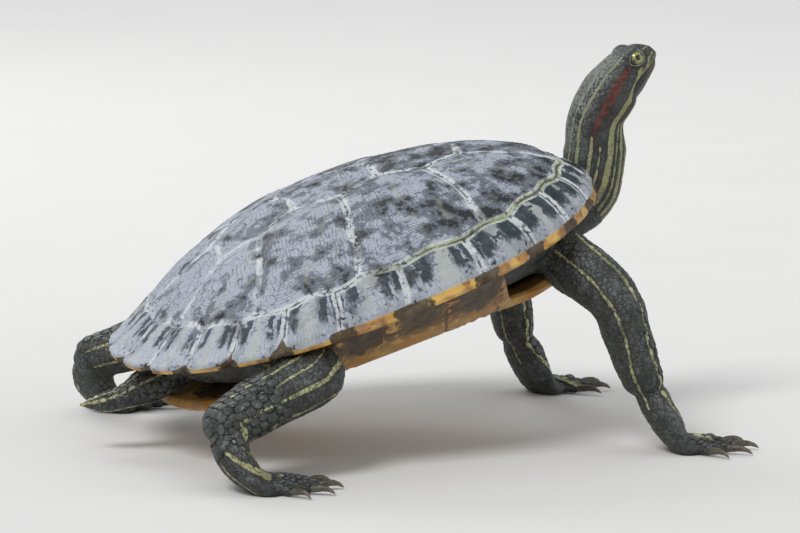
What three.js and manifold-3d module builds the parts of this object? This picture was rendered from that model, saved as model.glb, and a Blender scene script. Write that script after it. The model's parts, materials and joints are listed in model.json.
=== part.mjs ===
// A red-eared slider turtle at life size, standing with its head raised.
//
// Millimetres. +X is forwards, +Y is the animal's left, +Z is up and the floor is z = 0.
// The shell is drawn level, in its own group, and the group is then pitched nose-up.
// Flesh, shell, eyes and claws are separate solids that keep a thin gap to each other.

import * as THREE from 'three';
import { mergeVertices } from 'three/addons/utils/BufferGeometryUtils.js';
import Module from 'manifold-3d';

const wasm = await Module();
wasm.setup();

// ---------------------------------------------------------------- driving dimensions

const gap = 0.3; // between neighbouring solids

const shellLength = 200; // straight length of the carapace
const shellWidth = 154;
const domeHeight = 36; // crown of the carapace above the line of its rim
const crownForward = 10; // the crown stands this far ahead of the shell's middle
const rimThickness = 3;
const lipDepth = 6; // the rim's inner lip hangs this far under the rim line
const lipShare = 0.86; // the hollow under the carapace ends at this share of the plan
const shellWall = 5;
const nuchalNotch = 3; // the rim steps back this far over the neck
const serration = 2.2; // depth of the notches between the rear marginals

const plastronLevel = -27; // underside of the plastron below the rim line
const plastronLength = 180;
const plastronMiddle = 2;
const plastronThickness = 4.5;
const lobeHalfWidth = 44;
const bridgeHalfWidth = 66.5;
const bridgeRear = -36;
const bridgeFront = 40;
const bridgeTop = -4; // reaches into the inner lip of the carapace, which trims it
const bridgeFoot = 40; // the underside starts to turn up this far from the middle
const throatRise = 4;

const trunkHalfLength = 84;
const trunkHalfWidth = 63;
const trunkMiddle = -5; // level of the trunk's waist in the shell
const trunkCrown = 37;
const trunkDepth = 19;

const shellPitch = THREE.MathUtils.degToRad(17.5);
const shellMiddle = new THREE.Vector3(-15, 0, 67.5); // middle of the rim line over the floor

const headLength = 38;
const headPitch = THREE.MathUtils.degToRad(42);
const snoutTip = new THREE.Vector3(109.5, 0, 148.5);
const mouthLevel = -2.6; // the mouth line at the snout, in the head's own frame
const mouthLength = 19;
const mouthSlope = THREE.MathUtils.degToRad(4);
const eyeRadius = 4.1;
const eyePlace = new THREE.Vector3(-9.8, 6.3, 4.4); // behind, beside and above the snout

// ---------------------------------------------------------------- materials

const material = (color, roughness) => new THREE.MeshStandardMaterial({ color, roughness, metalness: 0 });
const carapaceHorn = material('#7d838a', 0.62);
const plastronHorn = material('#b98a3a', 0.5);
const skin = material('#474a44', 0.7);
const eyeGloss = material('#5e6b2c', 0.08);
const clawHorn = material('#3a342c', 0.45);

// ---------------------------------------------------------------- solids

const UP = new THREE.Vector3(0, 0, 1);

// A closed surface laid out by a function of two shares, round it (0 to 1) and along it.
function laidOut(segments, rings, place) {
  const geometry = new THREE.SphereGeometry(1, segments, rings);
  const { position, uv } = geometry.attributes;
  for (let i = 0; i < position.count; i += 1) {
    const point = place(uv.getX(i), 1 - uv.getY(i));
    position.setXYZ(i, point.x, point.y, point.z);
  }
  return toSolid(geometry);
}

function toSolid(geometry) {
  geometry.deleteAttribute('normal');
  geometry.deleteAttribute('uv');
  const merged = mergeVertices(geometry, 1e-3);
  const triVerts = Uint32Array.from(merged.index.array);
  const vertProperties = Float32Array.from(merged.attributes.position.array);
  return new wasm.Manifold(new wasm.Mesh({ numProp: 3, vertProperties, triVerts }));
}

function block(width, depth, height, matrix = new THREE.Matrix4()) {
  const geometry = new THREE.BoxGeometry(width, depth, height);
  geometry.applyMatrix4(matrix);
  return toSolid(geometry);
}

function largest(solid) {
  return solid.decompose().reduce((best, piece) => (piece.volume() > best.volume() ? piece : best));
}

function without(solid, ...cutters) {
  return largest(cutters.reduce((rest, cutter) => rest.subtract(cutter), solid));
}

// A mesh node from a solid whose points are in the world, or in the frame of its group.
function node(name, solid, finish) {
  const { vertProperties, triVerts } = solid.getMesh();
  const geometry = new THREE.BufferGeometry();
  geometry.setAttribute('position', new THREE.BufferAttribute(vertProperties, 3));
  geometry.setIndex(new THREE.BufferAttribute(triVerts, 1));
  geometry.computeVertexNormals();
  const mesh = new THREE.Mesh(geometry, finish);
  mesh.name = name;
  return mesh;
}

// The value at a share along a list of stations, smoothly between them.
function between(stations, share) {
  const place = Math.min(Math.max(share, 0), 1) * (stations.length - 1);
  const start = Math.min(Math.floor(place), stations.length - 2);
  const blend = THREE.MathUtils.smoothstep(place - start, 0, 1);
  return stations[start].map((value, i) => THREE.MathUtils.lerp(value, stations[start + 1][i], blend));
}

// 0 at both ends of a piece and 1 over its middle, round like a dome near the ends.
function roundedEnd(share, length) {
  const inset = Math.min(share, 1 - share, length) / length;
  return Math.sqrt(1 - (1 - inset) ** 2);
}

// A tapering, slightly bent piece of flesh or horn along a path of points.
// Each girth station is [half-width, half-height]; grow adds a skin of that thickness.
function limb(path, girths, { grow = 0, segments = 14, rings = 12, endLength = 0.16, top = UP } = {}) {
  const curve = new THREE.CatmullRomCurve3(path.map((p) => new THREE.Vector3(...p)));
  return laidOut(segments, rings, (around, along) => {
    const ahead = curve.getTangent(along);
    const side = new THREE.Vector3().crossVectors(top, ahead).normalize();
    const up = new THREE.Vector3().crossVectors(ahead, side);
    const [wide, high] = between(girths, along);
    const angle = around * 2 * Math.PI;
    const end = roundedEnd(along, endLength);
    return curve
      .getPoint(along)
      .addScaledVector(side, Math.cos(angle) * (wide + grow) * end)
      .addScaledVector(up, -Math.sin(angle) * (high + grow) * end)
      .addScaledVector(ahead, grow * (2 * along - 1));
  });
}

// ---------------------------------------------------------------- shell

const marginalsPerSide = 12;
const cervicalAngle = 0.055; // half the angle that the cervical scute takes at the front
const marginalAngle = (Math.PI - cervicalAngle) / marginalsPerSide;

const signedPower = (value, power) => Math.sign(value) * Math.abs(value) ** power;

// Points round the rim when each marginal takes a number of steps.
const rimSegments = (steps) => 2 * (marginalsPerSide * steps + 1);

// Angle round the rim, from the front over the left, so that every seam falls on a vertex.
function rimAngle(share, steps) {
  const count = rimSegments(steps);
  const index = Math.round(share * count);
  const fromFront = Math.min(index, count - index);
  const angle = fromFront === 0 ? 0 : cervicalAngle + ((fromFront - 1) * marginalAngle) / steps;
  return index <= count / 2 ? angle : 2 * Math.PI - angle;
}

// Shares of front, side and rear in the direction of an angle.
function facing(angle) {
  const forward = Math.cos(angle);
  return {
    front: Math.max(forward, 0) ** 2,
    side: Math.sin(angle) ** 2,
    rear: Math.max(-forward, 0) ** 2,
  };
}

function seamNotch(angle) {
  const turn = angle > Math.PI ? 2 * Math.PI - angle : angle;
  const place = (turn - cervicalAngle) / marginalAngle;
  const fromSeam = Math.abs(place - Math.round(place)) * 2;
  return serration * Math.max(0, 1 - 2.2 * fromSeam) * THREE.MathUtils.smoothstep(place, 6.6, 9);
}

// Plan outline of the carapace; the notches belong to the edge and fade away inwards.
function rimPoint(angle, share) {
  const forward = Math.cos(angle);
  const wide = (shellWidth / 2) * signedPower(Math.sin(angle), 0.88) * (1 - 0.09 * forward);
  const long = (shellLength / 2) * signedPower(forward, forward > 0 ? 0.84 : 0.9);
  const notch = nuchalNotch * Math.exp(-((wide / 13) ** 2)) * (forward > 0 ? 1 : 0);
  const rim = new THREE.Vector2(long - notch, wide);
  return rim.setLength(rim.length() - seamNotch(angle) * share ** 8);
}

function rimHeight(angle) {
  const { front, side } = facing(angle);
  return 3 * front - 2.5 * side;
}

// How far the dome has come down at a share of the way from its crown to the rim:
// full and round in front, steep at the sides, flared behind.
function domeShare(angle, share) {
  const { front, side, rear } = facing(angle);
  const power = 2 * front + 2.2 * side + 2.7 * rear;
  const flare = 0.6 * front + 0.62 * side + 1.5 * rear;
  return (1 - Math.min(share, 1) ** power) ** flare;
}

function carapacePoint(angle, share, crown, rimLevel) {
  const rim = rimPoint(angle, share);
  const dome = domeShare(angle, share);
  return new THREE.Vector3(rim.x, rim.y, 0)
    .sub(new THREE.Vector3(crownForward, 0, 0))
    .multiplyScalar(share)
    .add(new THREE.Vector3(crownForward, 0, THREE.MathUtils.lerp(rimHeight(angle) + rimLevel, crown, dome)));
}

// Outer rings run from the crown to the rim, inner rings back up under the dome.
function makeCarapace({ grow = 0, steps = 3 } = {}) {
  const outer = [0, 0.2, 0.42, 0.62, 0.78, 0.9, 0.97, 1];
  const inner = [1, lipShare, 0.82, 0.68, 0.45, 0];
  const rings = outer.length + inner.length - 1;
  const widen = 1 + (2 * grow) / shellLength;
  return laidOut(rimSegments(steps), rings, (around, along) => {
    const angle = rimAngle(around, steps);
    const ring = Math.round(along * rings);
    if (ring < outer.length) {
      const point = carapacePoint(angle, outer[ring], domeHeight + grow, grow);
      point.z += keel(point);
      return new THREE.Vector3(crownForward, 0, point.z).lerp(point, widen);
    }
    const share = inner[ring - outer.length];
    if (share > lipShare) {
      const depth = THREE.MathUtils.mapLinear(share, 1, lipShare, rimThickness, lipDepth) + grow;
      const rim = carapacePoint(angle, 1, domeHeight, -depth);
      const lean = new THREE.Vector3(crownForward, 0, rim.z);
      return lean.lerp(rim, share * widen);
    }
    const under = carapacePoint(angle, share / lipShare, domeHeight - shellWall - grow, -lipDepth - grow);
    const inset = new THREE.Vector3(crownForward, 0, under.z);
    return inset.lerp(under, lipShare - grow / shellLength);
  });
}

// The low ridge that runs along the vertebral scutes.
function keel(point) {
  const across = Math.max(0, 1 - Math.abs(point.y) / 12);
  return 1.4 * across * across * THREE.MathUtils.smoothstep(point.x, -98, -60);
}

function lobe(x) {
  const share = Math.abs((x - plastronMiddle) / (plastronLength / 2));
  return lobeHalfWidth * Math.sqrt(Math.max(0, 1 - share ** 4));
}

function bridge(x) {
  const behind = THREE.MathUtils.smoothstep(x, bridgeRear - 5, bridgeRear + 3);
  const before = 1 - THREE.MathUtils.smoothstep(x, bridgeFront - 3, bridgeFront + 5);
  return (bridgeHalfWidth - lobeHalfWidth) * behind * before;
}

// Underside of the plastron: flat between the lobes' edges, turned up to the rim at the
// bridges and a little at the throat.
function plastronUnder(x, y) {
  const outwards = (Math.abs(y) - bridgeFoot) / (bridgeHalfWidth - bridgeFoot);
  const rise = bridgeTop - plastronThickness / 2 - plastronLevel;
  const throat = throatRise * THREE.MathUtils.smoothstep(x, 50, 95);
  const hollow = 1.5 * Math.exp(-((y / 22) ** 2));
  return plastronLevel + throat + hollow + rise * THREE.MathUtils.clamp(outwards, 0, 1) ** 1.15;
}

function makePlastron(grow = 0) {
  return laidOut(40, 8, (around, along) => {
    const angle = -around * 2 * Math.PI;
    const x = plastronMiddle + (plastronLength / 2) * Math.cos(angle);
    const y = Math.sin(angle) > 0 ? lobe(x) + bridge(x) + grow : -lobe(x) - bridge(x) - grow;
    const upper = along > 0.5;
    const share = 1 - Math.abs(2 * along - 1);
    const spread = Math.sin((share * Math.PI) / 2);
    const edge = new THREE.Vector2(x + grow * Math.cos(angle), Math.abs(Math.sin(angle)) < 1e-6 ? 0 : y);
    const place = edge.multiplyScalar(spread);
    const under = plastronUnder(place.x, place.y);
    const height = plastronThickness * (share > 0.99 ? 0.5 : upper ? 1 : 0);
    const skinDepth = share > 0.99 ? 0 : upper ? grow : -grow;
    return new THREE.Vector3(place.x, place.y, under + height + skinDepth);
  });
}

// The body between the two shells, seen as skin in the openings for the limbs.
function makeTrunk(grow = 0) {
  return laidOut(22, 8, (around, along) => {
    const angle = -around * 2 * Math.PI;
    const share = Math.sin(along * Math.PI);
    const x = (trunkHalfLength + grow) * signedPower(Math.cos(angle), 0.8) * share;
    const y = (trunkHalfWidth + grow) * signedPower(Math.sin(angle), 0.8) * share;
    const thickness = Math.sqrt(Math.max(0, 1 - share ** 6));
    const flank = 1 - 0.5 * (Math.abs(y) / trunkHalfWidth) ** 3;
    const height = along > 0.5 ? trunkCrown + grow : -(trunkDepth + grow) * flank;
    return new THREE.Vector3(x, y, trunkMiddle + height * thickness);
  });
}

// ---------------------------------------------------------------- head and neck

// Stations at equal steps from the snout back: [half-width, top, underside].
const headStations = [
  [4.6, 4.6, -4.2],
  [7.8, 7.6, -6.8],
  [9.9, 9.2, -8.2],
  [11.8, 9.8, -9.2],
  [13.6, 10, -9.9],
  [14, 9.9, -10.4],
  [13, 9.4, -10.4],
  [11.4, 8.6, -9.6],
];

const headFrame = new THREE.Matrix4().makeRotationY(-headPitch).setPosition(snoutTip);

function makeHead(grow = 0) {
  const length = headLength + 5;
  return laidOut(22, 14, (around, along) => {
    const [wide, high, low] = between(headStations, along);
    const end = roundedEnd(along, 0.13);
    const angle = around * 2 * Math.PI;
    const up = signedPower(Math.sin(angle), 0.86);
    const side = signedPower(Math.cos(angle), 0.86);
    const height = up > 0 ? (high + grow) * up : (grow - low) * up;
    const behind = -length * along + grow * (1 - 2 * along);
    return new THREE.Vector3(behind, side * (wide + grow) * end, height * end).applyMatrix4(headFrame);
  });
}

// A block under the mouth line; what it shares with the head is the lower jaw.
function makeJawBlock(grow = 0) {
  const slope = new THREE.Matrix4().makeRotationY(mouthSlope);
  const place = new THREE.Matrix4().makeTranslation(-mouthLength / 2 + 10, 0, mouthLevel - 10);
  const matrix = headFrame.clone().multiply(slope).multiply(place);
  return block(mouthLength + 20 + 2 * grow, 60, 20 + 2 * grow, matrix);
}

function makeEye(side, grow = 0) {
  const centre = eyePlace.clone().setY(side * eyePlace.y).applyMatrix4(headFrame);
  const geometry = new THREE.SphereGeometry(eyeRadius + grow, 11, 7);
  geometry.translate(centre.x, centre.y, centre.z);
  return toSolid(geometry);
}

const neckPath = [
  [44, 0, 80],
  [66, 0, 83],
  [81.5, 0, 91.5],
  [86, 0, 105],
  [84.2, 0, 118.5],
  [92.5, 0, 128.5],
];
const neckGirths = [
  [18, 12],
  [17, 13],
  [15, 13],
  [13.6, 13],
  [13.8, 13.2],
  [9.5, 8.4],
];
const makeNeck = () =>
  limb(neckPath, neckGirths, { segments: 12, rings: 9, top: new THREE.Vector3(-1, 0, 0.35) });

const tailPath = [
  [-70, 0, 42],
  [-96, 0, 27],
  [-112, 3, 20],
  [-125, 9, 18],
];
const tailGirths = [
  [11, 9],
  [9, 7.5],
  [5, 4.4],
  [1.6, 1.5],
];

// ---------------------------------------------------------------- legs

// Every leg is given for the right side; left legs are mirrored, with a stride of their own.
const foreleg = {
  root: [50, -24, 82],
  bend: [70, -59, 60],
  ankle: [83, -63, 22],
  pad: [96, -67, 2.8],
  girths: [[11.5, 11], [13, 11], [12.5, 10], [12.5, 8.8], [11, 7.6]],
  palmGirths: [[10, 6.8], [11, 6.6], [11.5, 4.6], [9.5, 3]],
  top: new THREE.Vector3(1, 0, 0.25),
  heading: -14,
  fan: [-52, -26, 0, 25, 50],
  toeLengths: [12, 15.5, 17, 16, 12.5],
  toeRadius: 2.6,
  clawLength: 9,
  clawed: 5,
};

const hindleg = {
  root: [-62, -22, 43],
  bend: [-54, -65, 38],
  ankle: [-98, -80, 21],
  pad: [-80, -87, 3],
  girths: [[15, 12.5], [15.5, 12.5], [13.5, 11.5], [12.5, 10.3], [10.5, 8.6]],
  palmGirths: [[8.5, 7], [11, 7], [13, 4.8], [11.5, 3.2]],
  top: UP,
  heading: -12,
  fan: [-48, -24, 0, 22, 44],
  toeLengths: [13, 17, 19, 17.5, 13],
  toeRadius: 2.7,
  clawLength: 8,
  clawed: 4,
};

const midway = (a, b, share) => a.map((value, i) => THREE.MathUtils.lerp(value, b[i], share));

// The leg down to the ankle, drawn whole and parted at the knee or elbow with a thin cut.
function makeLeg(leg, grow = 0) {
  const thigh = midway(leg.root, leg.bend, 0.5);
  const shank = midway(leg.bend, leg.ankle, 0.5);
  const path = [leg.root, thigh, leg.bend, shank, leg.ankle];
  return limb(path, leg.girths, { grow, segments: 10, rings: 12, top: leg.top, endLength: 0.08 });
}

function parted(leg, whole) {
  const [root, bend, ankle] = [leg.root, leg.bend, leg.ankle].map((point) => new THREE.Vector3(...point));
  const across = bend.clone().sub(root).normalize().add(ankle.sub(bend).normalize()).normalize();
  const offset = across.dot(bend);
  return {
    upper: largest(whole.trimByPlane(across.clone().negate().toArray(), gap / 2 - offset)),
    lower: largest(whole.trimByPlane(across.toArray(), gap / 2 + offset)),
  };
}

// Where toe number i springs from inside the pad, and the point that it reaches.
function toe(leg, i) {
  const angle = THREE.MathUtils.degToRad(leg.heading + leg.fan[i]);
  const ahead = new THREE.Vector3(Math.cos(angle), Math.sin(angle), 0);
  const pad = new THREE.Vector3(...leg.pad);
  const root = pad.clone().addScaledVector(ahead, 1).setZ(leg.toeRadius + 1);
  const tip = pad.clone().addScaledVector(ahead, leg.toeLengths[i] + 4).setZ(leg.toeRadius * 0.55);
  return { ahead, root, tip };
}

function makeToe(leg, i, grow = 0) {
  const { root, tip } = toe(leg, i);
  const middle = root.clone().lerp(tip, 0.5).setZ(leg.toeRadius + 0.7);
  const thick = leg.toeRadius;
  const girths = [[thick, thick], [thick, thick], [thick * 0.85, thick * 0.8]];
  const path = [root, middle, tip].map((point) => point.toArray());
  return limb(path, girths, { grow, segments: 6, rings: 3, endLength: 0.3 });
}

// The web is a thin sheet from toe to toe, drawn in a little between their tips.
function makeWeb(leg, grow = 0) {
  const pad = new THREE.Vector3(...leg.pad);
  const reaches = leg.fan.map((turn, i) => toe(leg, i).root.lerp(toe(leg, i).tip, 0.72));
  const outline = new THREE.Shape();
  outline.moveTo(pad.x - 4, pad.y);
  reaches.forEach((reach, i) => {
    outline.lineTo(reach.x, reach.y);
    if (i < reaches.length - 1) {
      const dip = reach.clone().lerp(reaches[i + 1], 0.5).lerp(pad, 0.26);
      outline.lineTo(dip.x, dip.y);
    }
  });
  const geometry = new THREE.ExtrudeGeometry(outline, { depth: 1.6 + 2 * grow, bevelEnabled: false });
  geometry.translate(0, 0, 0.6 - grow);
  return toSolid(geometry);
}

const underFloor = block(800, 800, 60, new THREE.Matrix4().makeTranslation(0, 0, -30));

function makeFoot(leg, grow = 0) {
  const forwards = toe(leg, 2).ahead;
  const front = new THREE.Vector3(...leg.pad).addScaledVector(forwards, 8).setZ(2.2).toArray();
  const path = [midway(leg.ankle, leg.bend, 0.14), midway(leg.ankle, leg.pad, 0.5), leg.pad, front];
  const top = forwards.clone().add(UP);
  const palm = limb(path, leg.palmGirths, { grow, segments: 9, rings: 7, endLength: 0.2, top });
  const toes = leg.fan.map((turn, i) => makeToe(leg, i, grow));
  return [makeWeb(leg, grow), ...toes].reduce((foot, piece) => foot.add(piece), palm).subtract(underFloor);
}

function makeClaw(leg, i) {
  const { ahead, tip } = toe(leg, i);
  const path = [
    tip.clone().addScaledVector(ahead, -2.5).setZ(2.3),
    tip.clone().addScaledVector(ahead, leg.clawLength * 0.45).setZ(2.3),
    tip.clone().addScaledVector(ahead, leg.clawLength).setZ(0.8),
  ];
  const girths = [[1.5, 1.5], [1.25, 1.35], [0.25, 0.3]];
  const claw = limb(path.map((point) => point.toArray()), girths, { segments: 5, rings: 3, endLength: 0.3 });
  return without(claw, makeToe(leg, i, gap), underFloor);
}

function onSide(leg, side, stride) {
  const move = ([x, y, z], share) => [x + stride * share, -side * y, z];
  return {
    ...leg,
    root: move(leg.root, 0),
    bend: move(leg.bend, 0.4),
    ankle: move(leg.ankle, 1),
    pad: move(leg.pad, 1),
    heading: -side * leg.heading,
    fan: leg.fan.map((turn) => -side * turn),
  };
}

function addLeg(group, leg, names, cutters) {
  const { upper, lower } = parted(leg, makeLeg(leg));
  group.add(node(names.upper, without(upper, ...cutters), skin));
  group.add(node(names.lower, without(lower, ...cutters), skin));
  group.add(node(names.foot, without(makeFoot(leg), makeLeg(leg, gap)), skin));
  for (let i = 0; i < leg.clawed; i += 1) {
    group.add(node(`${names.claw}_${i + 1}`, makeClaw(leg, i), clawHorn));
  }
}

// ---------------------------------------------------------------- the animal

const turtle = new THREE.Group();
const shell = new THREE.Group();
shell.position.copy(shellMiddle);
shell.rotation.y = -shellPitch;
shell.updateMatrix();
turtle.add(shell);

// The flesh is cut by a coarser carapace, grown to clear the facets of the fine one.
const shellCutters = [makeCarapace({ grow: 5 * gap, steps: 1 }), makePlastron(gap)];
shell.add(node('carapace', makeCarapace(), carapaceHorn));
shell.add(node('plastron', without(makePlastron(), shellCutters[0]), plastronHorn));
shell.add(node('trunk', without(makeTrunk(), ...shellCutters), skin));

const bodyCutters = [...shellCutters, makeTrunk(gap)].map((cutter) => {
  return cutter.transform(shell.matrix.elements);
});

const eyeSockets = makeEye(1, gap).add(makeEye(-1, gap));
turtle.add(node('head', without(makeHead(), makeJawBlock(gap), eyeSockets), skin));
turtle.add(node('lower_jaw', largest(makeHead().intersect(makeJawBlock())), skin));
const rimCutter = makeCarapace({ grow: gap }).transform(shell.matrix.elements);
turtle.add(node('neck', without(makeNeck(), makeHead(gap), rimCutter, ...bodyCutters.slice(1)), skin));
turtle.add(node('eye_left', makeEye(1), eyeGloss));
turtle.add(node('eye_right', makeEye(-1), eyeGloss));
const tail = limb(tailPath, tailGirths, { segments: 10, rings: 10 });
turtle.add(node('tail', without(tail, ...bodyCutters), skin));

const legParts = {
  fore: { upper: 'upper_arm', lower: 'forearm', foot: 'forefoot', claw: 'fore_claw' },
  hind: { upper: 'thigh', lower: 'shank', foot: 'hindfoot', claw: 'hind_claw' },
};

// Each stride moves a left foot against the right one: [side's name, side, fore, hind].
for (const [sideName, side, foreStride, hindStride] of [['right', -1, 0, 0], ['left', 1, -7, -8]]) {
  const sideNames = (parts) => {
    return Object.fromEntries(Object.entries(parts).map(([part, name]) => [part, `${name}_${sideName}`]));
  };
  addLeg(turtle, onSide(foreleg, side, foreStride), sideNames(legParts.fore), bodyCutters);
  addLeg(turtle, onSide(hindleg, side, hindStride), sideNames(legParts.hind), bodyCutters);
}

export default turtle;
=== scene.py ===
# %% [markdown]
# # A red-eared slider turtle at life size
#
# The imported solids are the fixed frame: they give every part its place. This script builds the
# looks round them in metres: the horny shell in two pieces, one skin over all the flesh, the
# horny scales that stand on it, the eyes and the claws. The frame is loaded first, and its box
# is kept, because nothing that is added may make the animal bigger.

# %% Load the frame
import itertools
import json
import math

import bpy
import numpy as np
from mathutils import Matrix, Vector
from mathutils.bvhtree import BVHTree
from mathutils.kdtree import KDTree

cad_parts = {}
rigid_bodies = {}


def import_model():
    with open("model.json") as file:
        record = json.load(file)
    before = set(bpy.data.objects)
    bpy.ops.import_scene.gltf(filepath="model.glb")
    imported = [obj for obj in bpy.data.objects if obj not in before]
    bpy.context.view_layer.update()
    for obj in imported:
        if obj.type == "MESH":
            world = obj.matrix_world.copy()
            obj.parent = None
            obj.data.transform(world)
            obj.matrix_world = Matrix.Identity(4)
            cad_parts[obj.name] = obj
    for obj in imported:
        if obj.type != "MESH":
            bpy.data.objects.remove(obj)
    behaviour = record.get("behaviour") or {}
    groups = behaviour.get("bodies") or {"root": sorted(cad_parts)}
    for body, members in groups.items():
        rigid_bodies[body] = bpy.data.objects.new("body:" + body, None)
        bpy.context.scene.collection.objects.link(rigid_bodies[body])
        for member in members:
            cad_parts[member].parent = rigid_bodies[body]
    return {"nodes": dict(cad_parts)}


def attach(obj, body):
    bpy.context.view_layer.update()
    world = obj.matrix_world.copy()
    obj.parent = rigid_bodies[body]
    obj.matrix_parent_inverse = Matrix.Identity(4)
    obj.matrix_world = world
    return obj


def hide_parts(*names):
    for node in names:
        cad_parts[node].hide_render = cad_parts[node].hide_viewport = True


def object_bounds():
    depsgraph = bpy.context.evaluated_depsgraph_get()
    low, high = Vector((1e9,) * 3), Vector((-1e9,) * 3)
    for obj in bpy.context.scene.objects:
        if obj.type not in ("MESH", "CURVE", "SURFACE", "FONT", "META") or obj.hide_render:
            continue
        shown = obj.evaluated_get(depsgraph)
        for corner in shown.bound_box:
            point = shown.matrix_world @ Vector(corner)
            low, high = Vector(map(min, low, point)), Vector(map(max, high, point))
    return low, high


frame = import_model()
cad_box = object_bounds()
print("frame loaded:", len(frame["nodes"]), "nodes")

# %% [markdown]
# ## Working in millimetres
#
# A turtle is small, so its shapes are thought out in millimetres and only turned into metres
# when they are laid into a mesh. Everything is deselected before a new primitive is added,
# because an operator in Blender acts on all that is selected.

# %% Helpers for selecting and for laying points
MM = 0.001


def leave_edit():
    bpy.ops.object.mode_set(mode="OBJECT")


def start_fresh():
    """Leaves edit mode and deselects everything."""
    if bpy.context.object and bpy.context.object.mode != "OBJECT":
        leave_edit()
    bpy.ops.object.select_all(action="DESELECT")


def pick(*pieces):
    """Selects these pieces alone and makes the first one active."""
    start_fresh()
    for piece in pieces:
        piece.select_set(True)
    bpy.context.view_layer.objects.active = pieces[0]


def edit(action="SELECT"):
    """Goes into edit mode with everything selected, or nothing."""
    bpy.ops.object.mode_set(mode="EDIT")
    bpy.ops.mesh.select_all(action=action)


def rows(items, name, width):
    """One property of every vertex or corner, as rows of numbers."""
    flat = np.empty(len(items) * width)
    items.foreach_get(name, flat)
    return flat.reshape(-1, width)


def points_of(piece):
    """The piece's vertices in millimetres, as rows."""
    return rows(piece.data.vertices, "co", 3) / MM


def lay_points(piece, points):
    """Moves the piece's vertices to these places in millimetres."""
    piece.data.vertices.foreach_set("co", (np.asarray(points) * MM).ravel())
    piece.data.update()


def normals_of(piece):
    return rows(piece.data.vertex_normals, "vector", 3)


def paint(piece, **layers):
    """Stores numbers for each vertex, which a material can read by their names."""
    for name, values in layers.items():
        layer = piece.data.attributes.new(name, "FLOAT", "POINT")
        layer.data.foreach_set("value", np.full(len(layer.data), values, np.float32))


# %% [markdown]
# ## Shares, blends and noise
#
# Most shapes here are told by shares: 0 at the start of a piece and 1 at its end. These small
# functions blend between shares, follow a smooth path through a few points, and give the soft
# random unevenness that every grown thing has. The noise is worked out from the place itself, so
# each run gives the same animal.

# %% Blends and paths
def smooth(value, low, high):
    """0 below low, 1 above high, and an easy curve between them."""
    share = np.clip((value - low) / (high - low), 0, 1)
    return share * share * (3 - 2 * share)


def signed_power(value, power):
    return np.sign(value) * np.abs(value) ** power


def lerp(a, b, share):
    return a + (b - a) * share


def bump(distance, width, height=1.0):
    """A round hill of this half-width; a dent if the height is negative."""
    return height * np.exp(-((distance / width) ** 2))


def half_turns(angle):
    """The same angle between minus pi and pi."""
    return (angle + np.pi) % (2 * np.pi) - np.pi


def unit(vectors):
    return vectors / np.maximum(np.linalg.norm(vectors, axis=-1, keepdims=True), 1e-9)


def away_from(spot, points):
    return np.linalg.norm(points - spot, axis=1)


def run_of(points):
    """Length of a polyline from its start to each of its points."""
    return np.r_[0, np.cumsum(np.linalg.norm(np.diff(points, axis=0), axis=1))]


def summed(spacing):
    """The running total of a table of spacings, as shares from 0 to 1."""
    total = np.r_[0, np.cumsum((spacing[1:] + spacing[:-1]) / 2)]
    return total / total[-1]


def along_path(knots, shares):
    """Points on a smooth curve through the knots; equal shares go to each stretch."""
    knots = np.asarray(knots, float)
    knots = np.vstack([2 * knots[0] - knots[1], knots, 2 * knots[-1] - knots[-2]])
    place = np.clip(shares, 0, 1) * (len(knots) - 3)
    first = np.minimum(place.astype(int), len(knots) - 4)
    t = (place - first)[:, None]
    p0, p1, p2, p3 = (knots[first + k] for k in range(4))
    spans = itertools.pairwise((p0, p1, p2, p3))
    d0, d1, d2 = (np.sqrt(np.linalg.norm(b - a, axis=1))[:, None] for a, b in spans)
    leave = d1 * ((p1 - p0) / d0 - (p2 - p0) / (d0 + d1) + (p2 - p1) / d1)
    arrive = d1 * ((p2 - p1) / d1 - (p3 - p1) / (d1 + d2) + (p3 - p2) / d2)
    bend = (2 * t**3 - 3 * t**2 + 1) * p1 + (t**3 - 2 * t**2 + t) * leave
    return bend + (3 * t**2 - 2 * t**3) * p2 + (t**3 - t**2) * arrive


def stations(values, shares):
    """The girth at each share along a list of equally spaced stations."""
    values = np.asarray(values, float)
    place = np.clip(shares, 0, 1) * (len(values) - 1)
    first = np.minimum(place.astype(int), len(values) - 2)
    share = smooth(place - first, 0, 1)[:, None]
    return lerp(values[first], values[first + 1], share)


# %% Noise, furrows and distances
def noise(points, size, seed=0):
    """Smooth random values from -1 to 1 that change over about `size` millimetres."""
    place = np.asarray(points, float) / size + 7.31 * seed
    cell = np.floor(place).astype(np.int64)
    ease = place - cell
    ease = ease * ease * (3 - 2 * ease)
    total = np.zeros(len(place))
    for corner in itertools.product((0, 1), repeat=3):
        x, y, z = (cell + np.array(corner)).T
        mixed = (x * 73856093) ^ (y * 19349663) ^ (z * 83492791) ^ (seed * 2654435)
        mixed = (mixed ^ (mixed >> 13)) * 1274126177 & 0x7FFFFFFF
        value = ((mixed ^ (mixed >> 16)) & 0xFFFF) / 32767.5 - 1
        total += value * np.prod(np.where(corner, ease, 1 - ease), axis=1)
    return total


def wavered(points, amount, size, seed):
    """The points moved a little each way, so that lines measured from them come out wavy."""
    return points + amount * np.column_stack([noise(points, size, seed + k) for k in range(3)])


def furrows(phase, spacing, width):
    """Narrow dents at the whole numbers of a phase: 0 between them and -1 at the bottom."""
    return bump(np.abs(phase - np.round(phase)) * spacing, width, -1.0)


def nearest_of(spots, points):
    """For each point the number of the spot that is nearest to it."""
    tree = KDTree(len(spots))
    for index, spot in enumerate(spots):
        tree.insert(spot, index)
    tree.balance()
    return np.array([tree.find(point)[1] for point in points])


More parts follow.
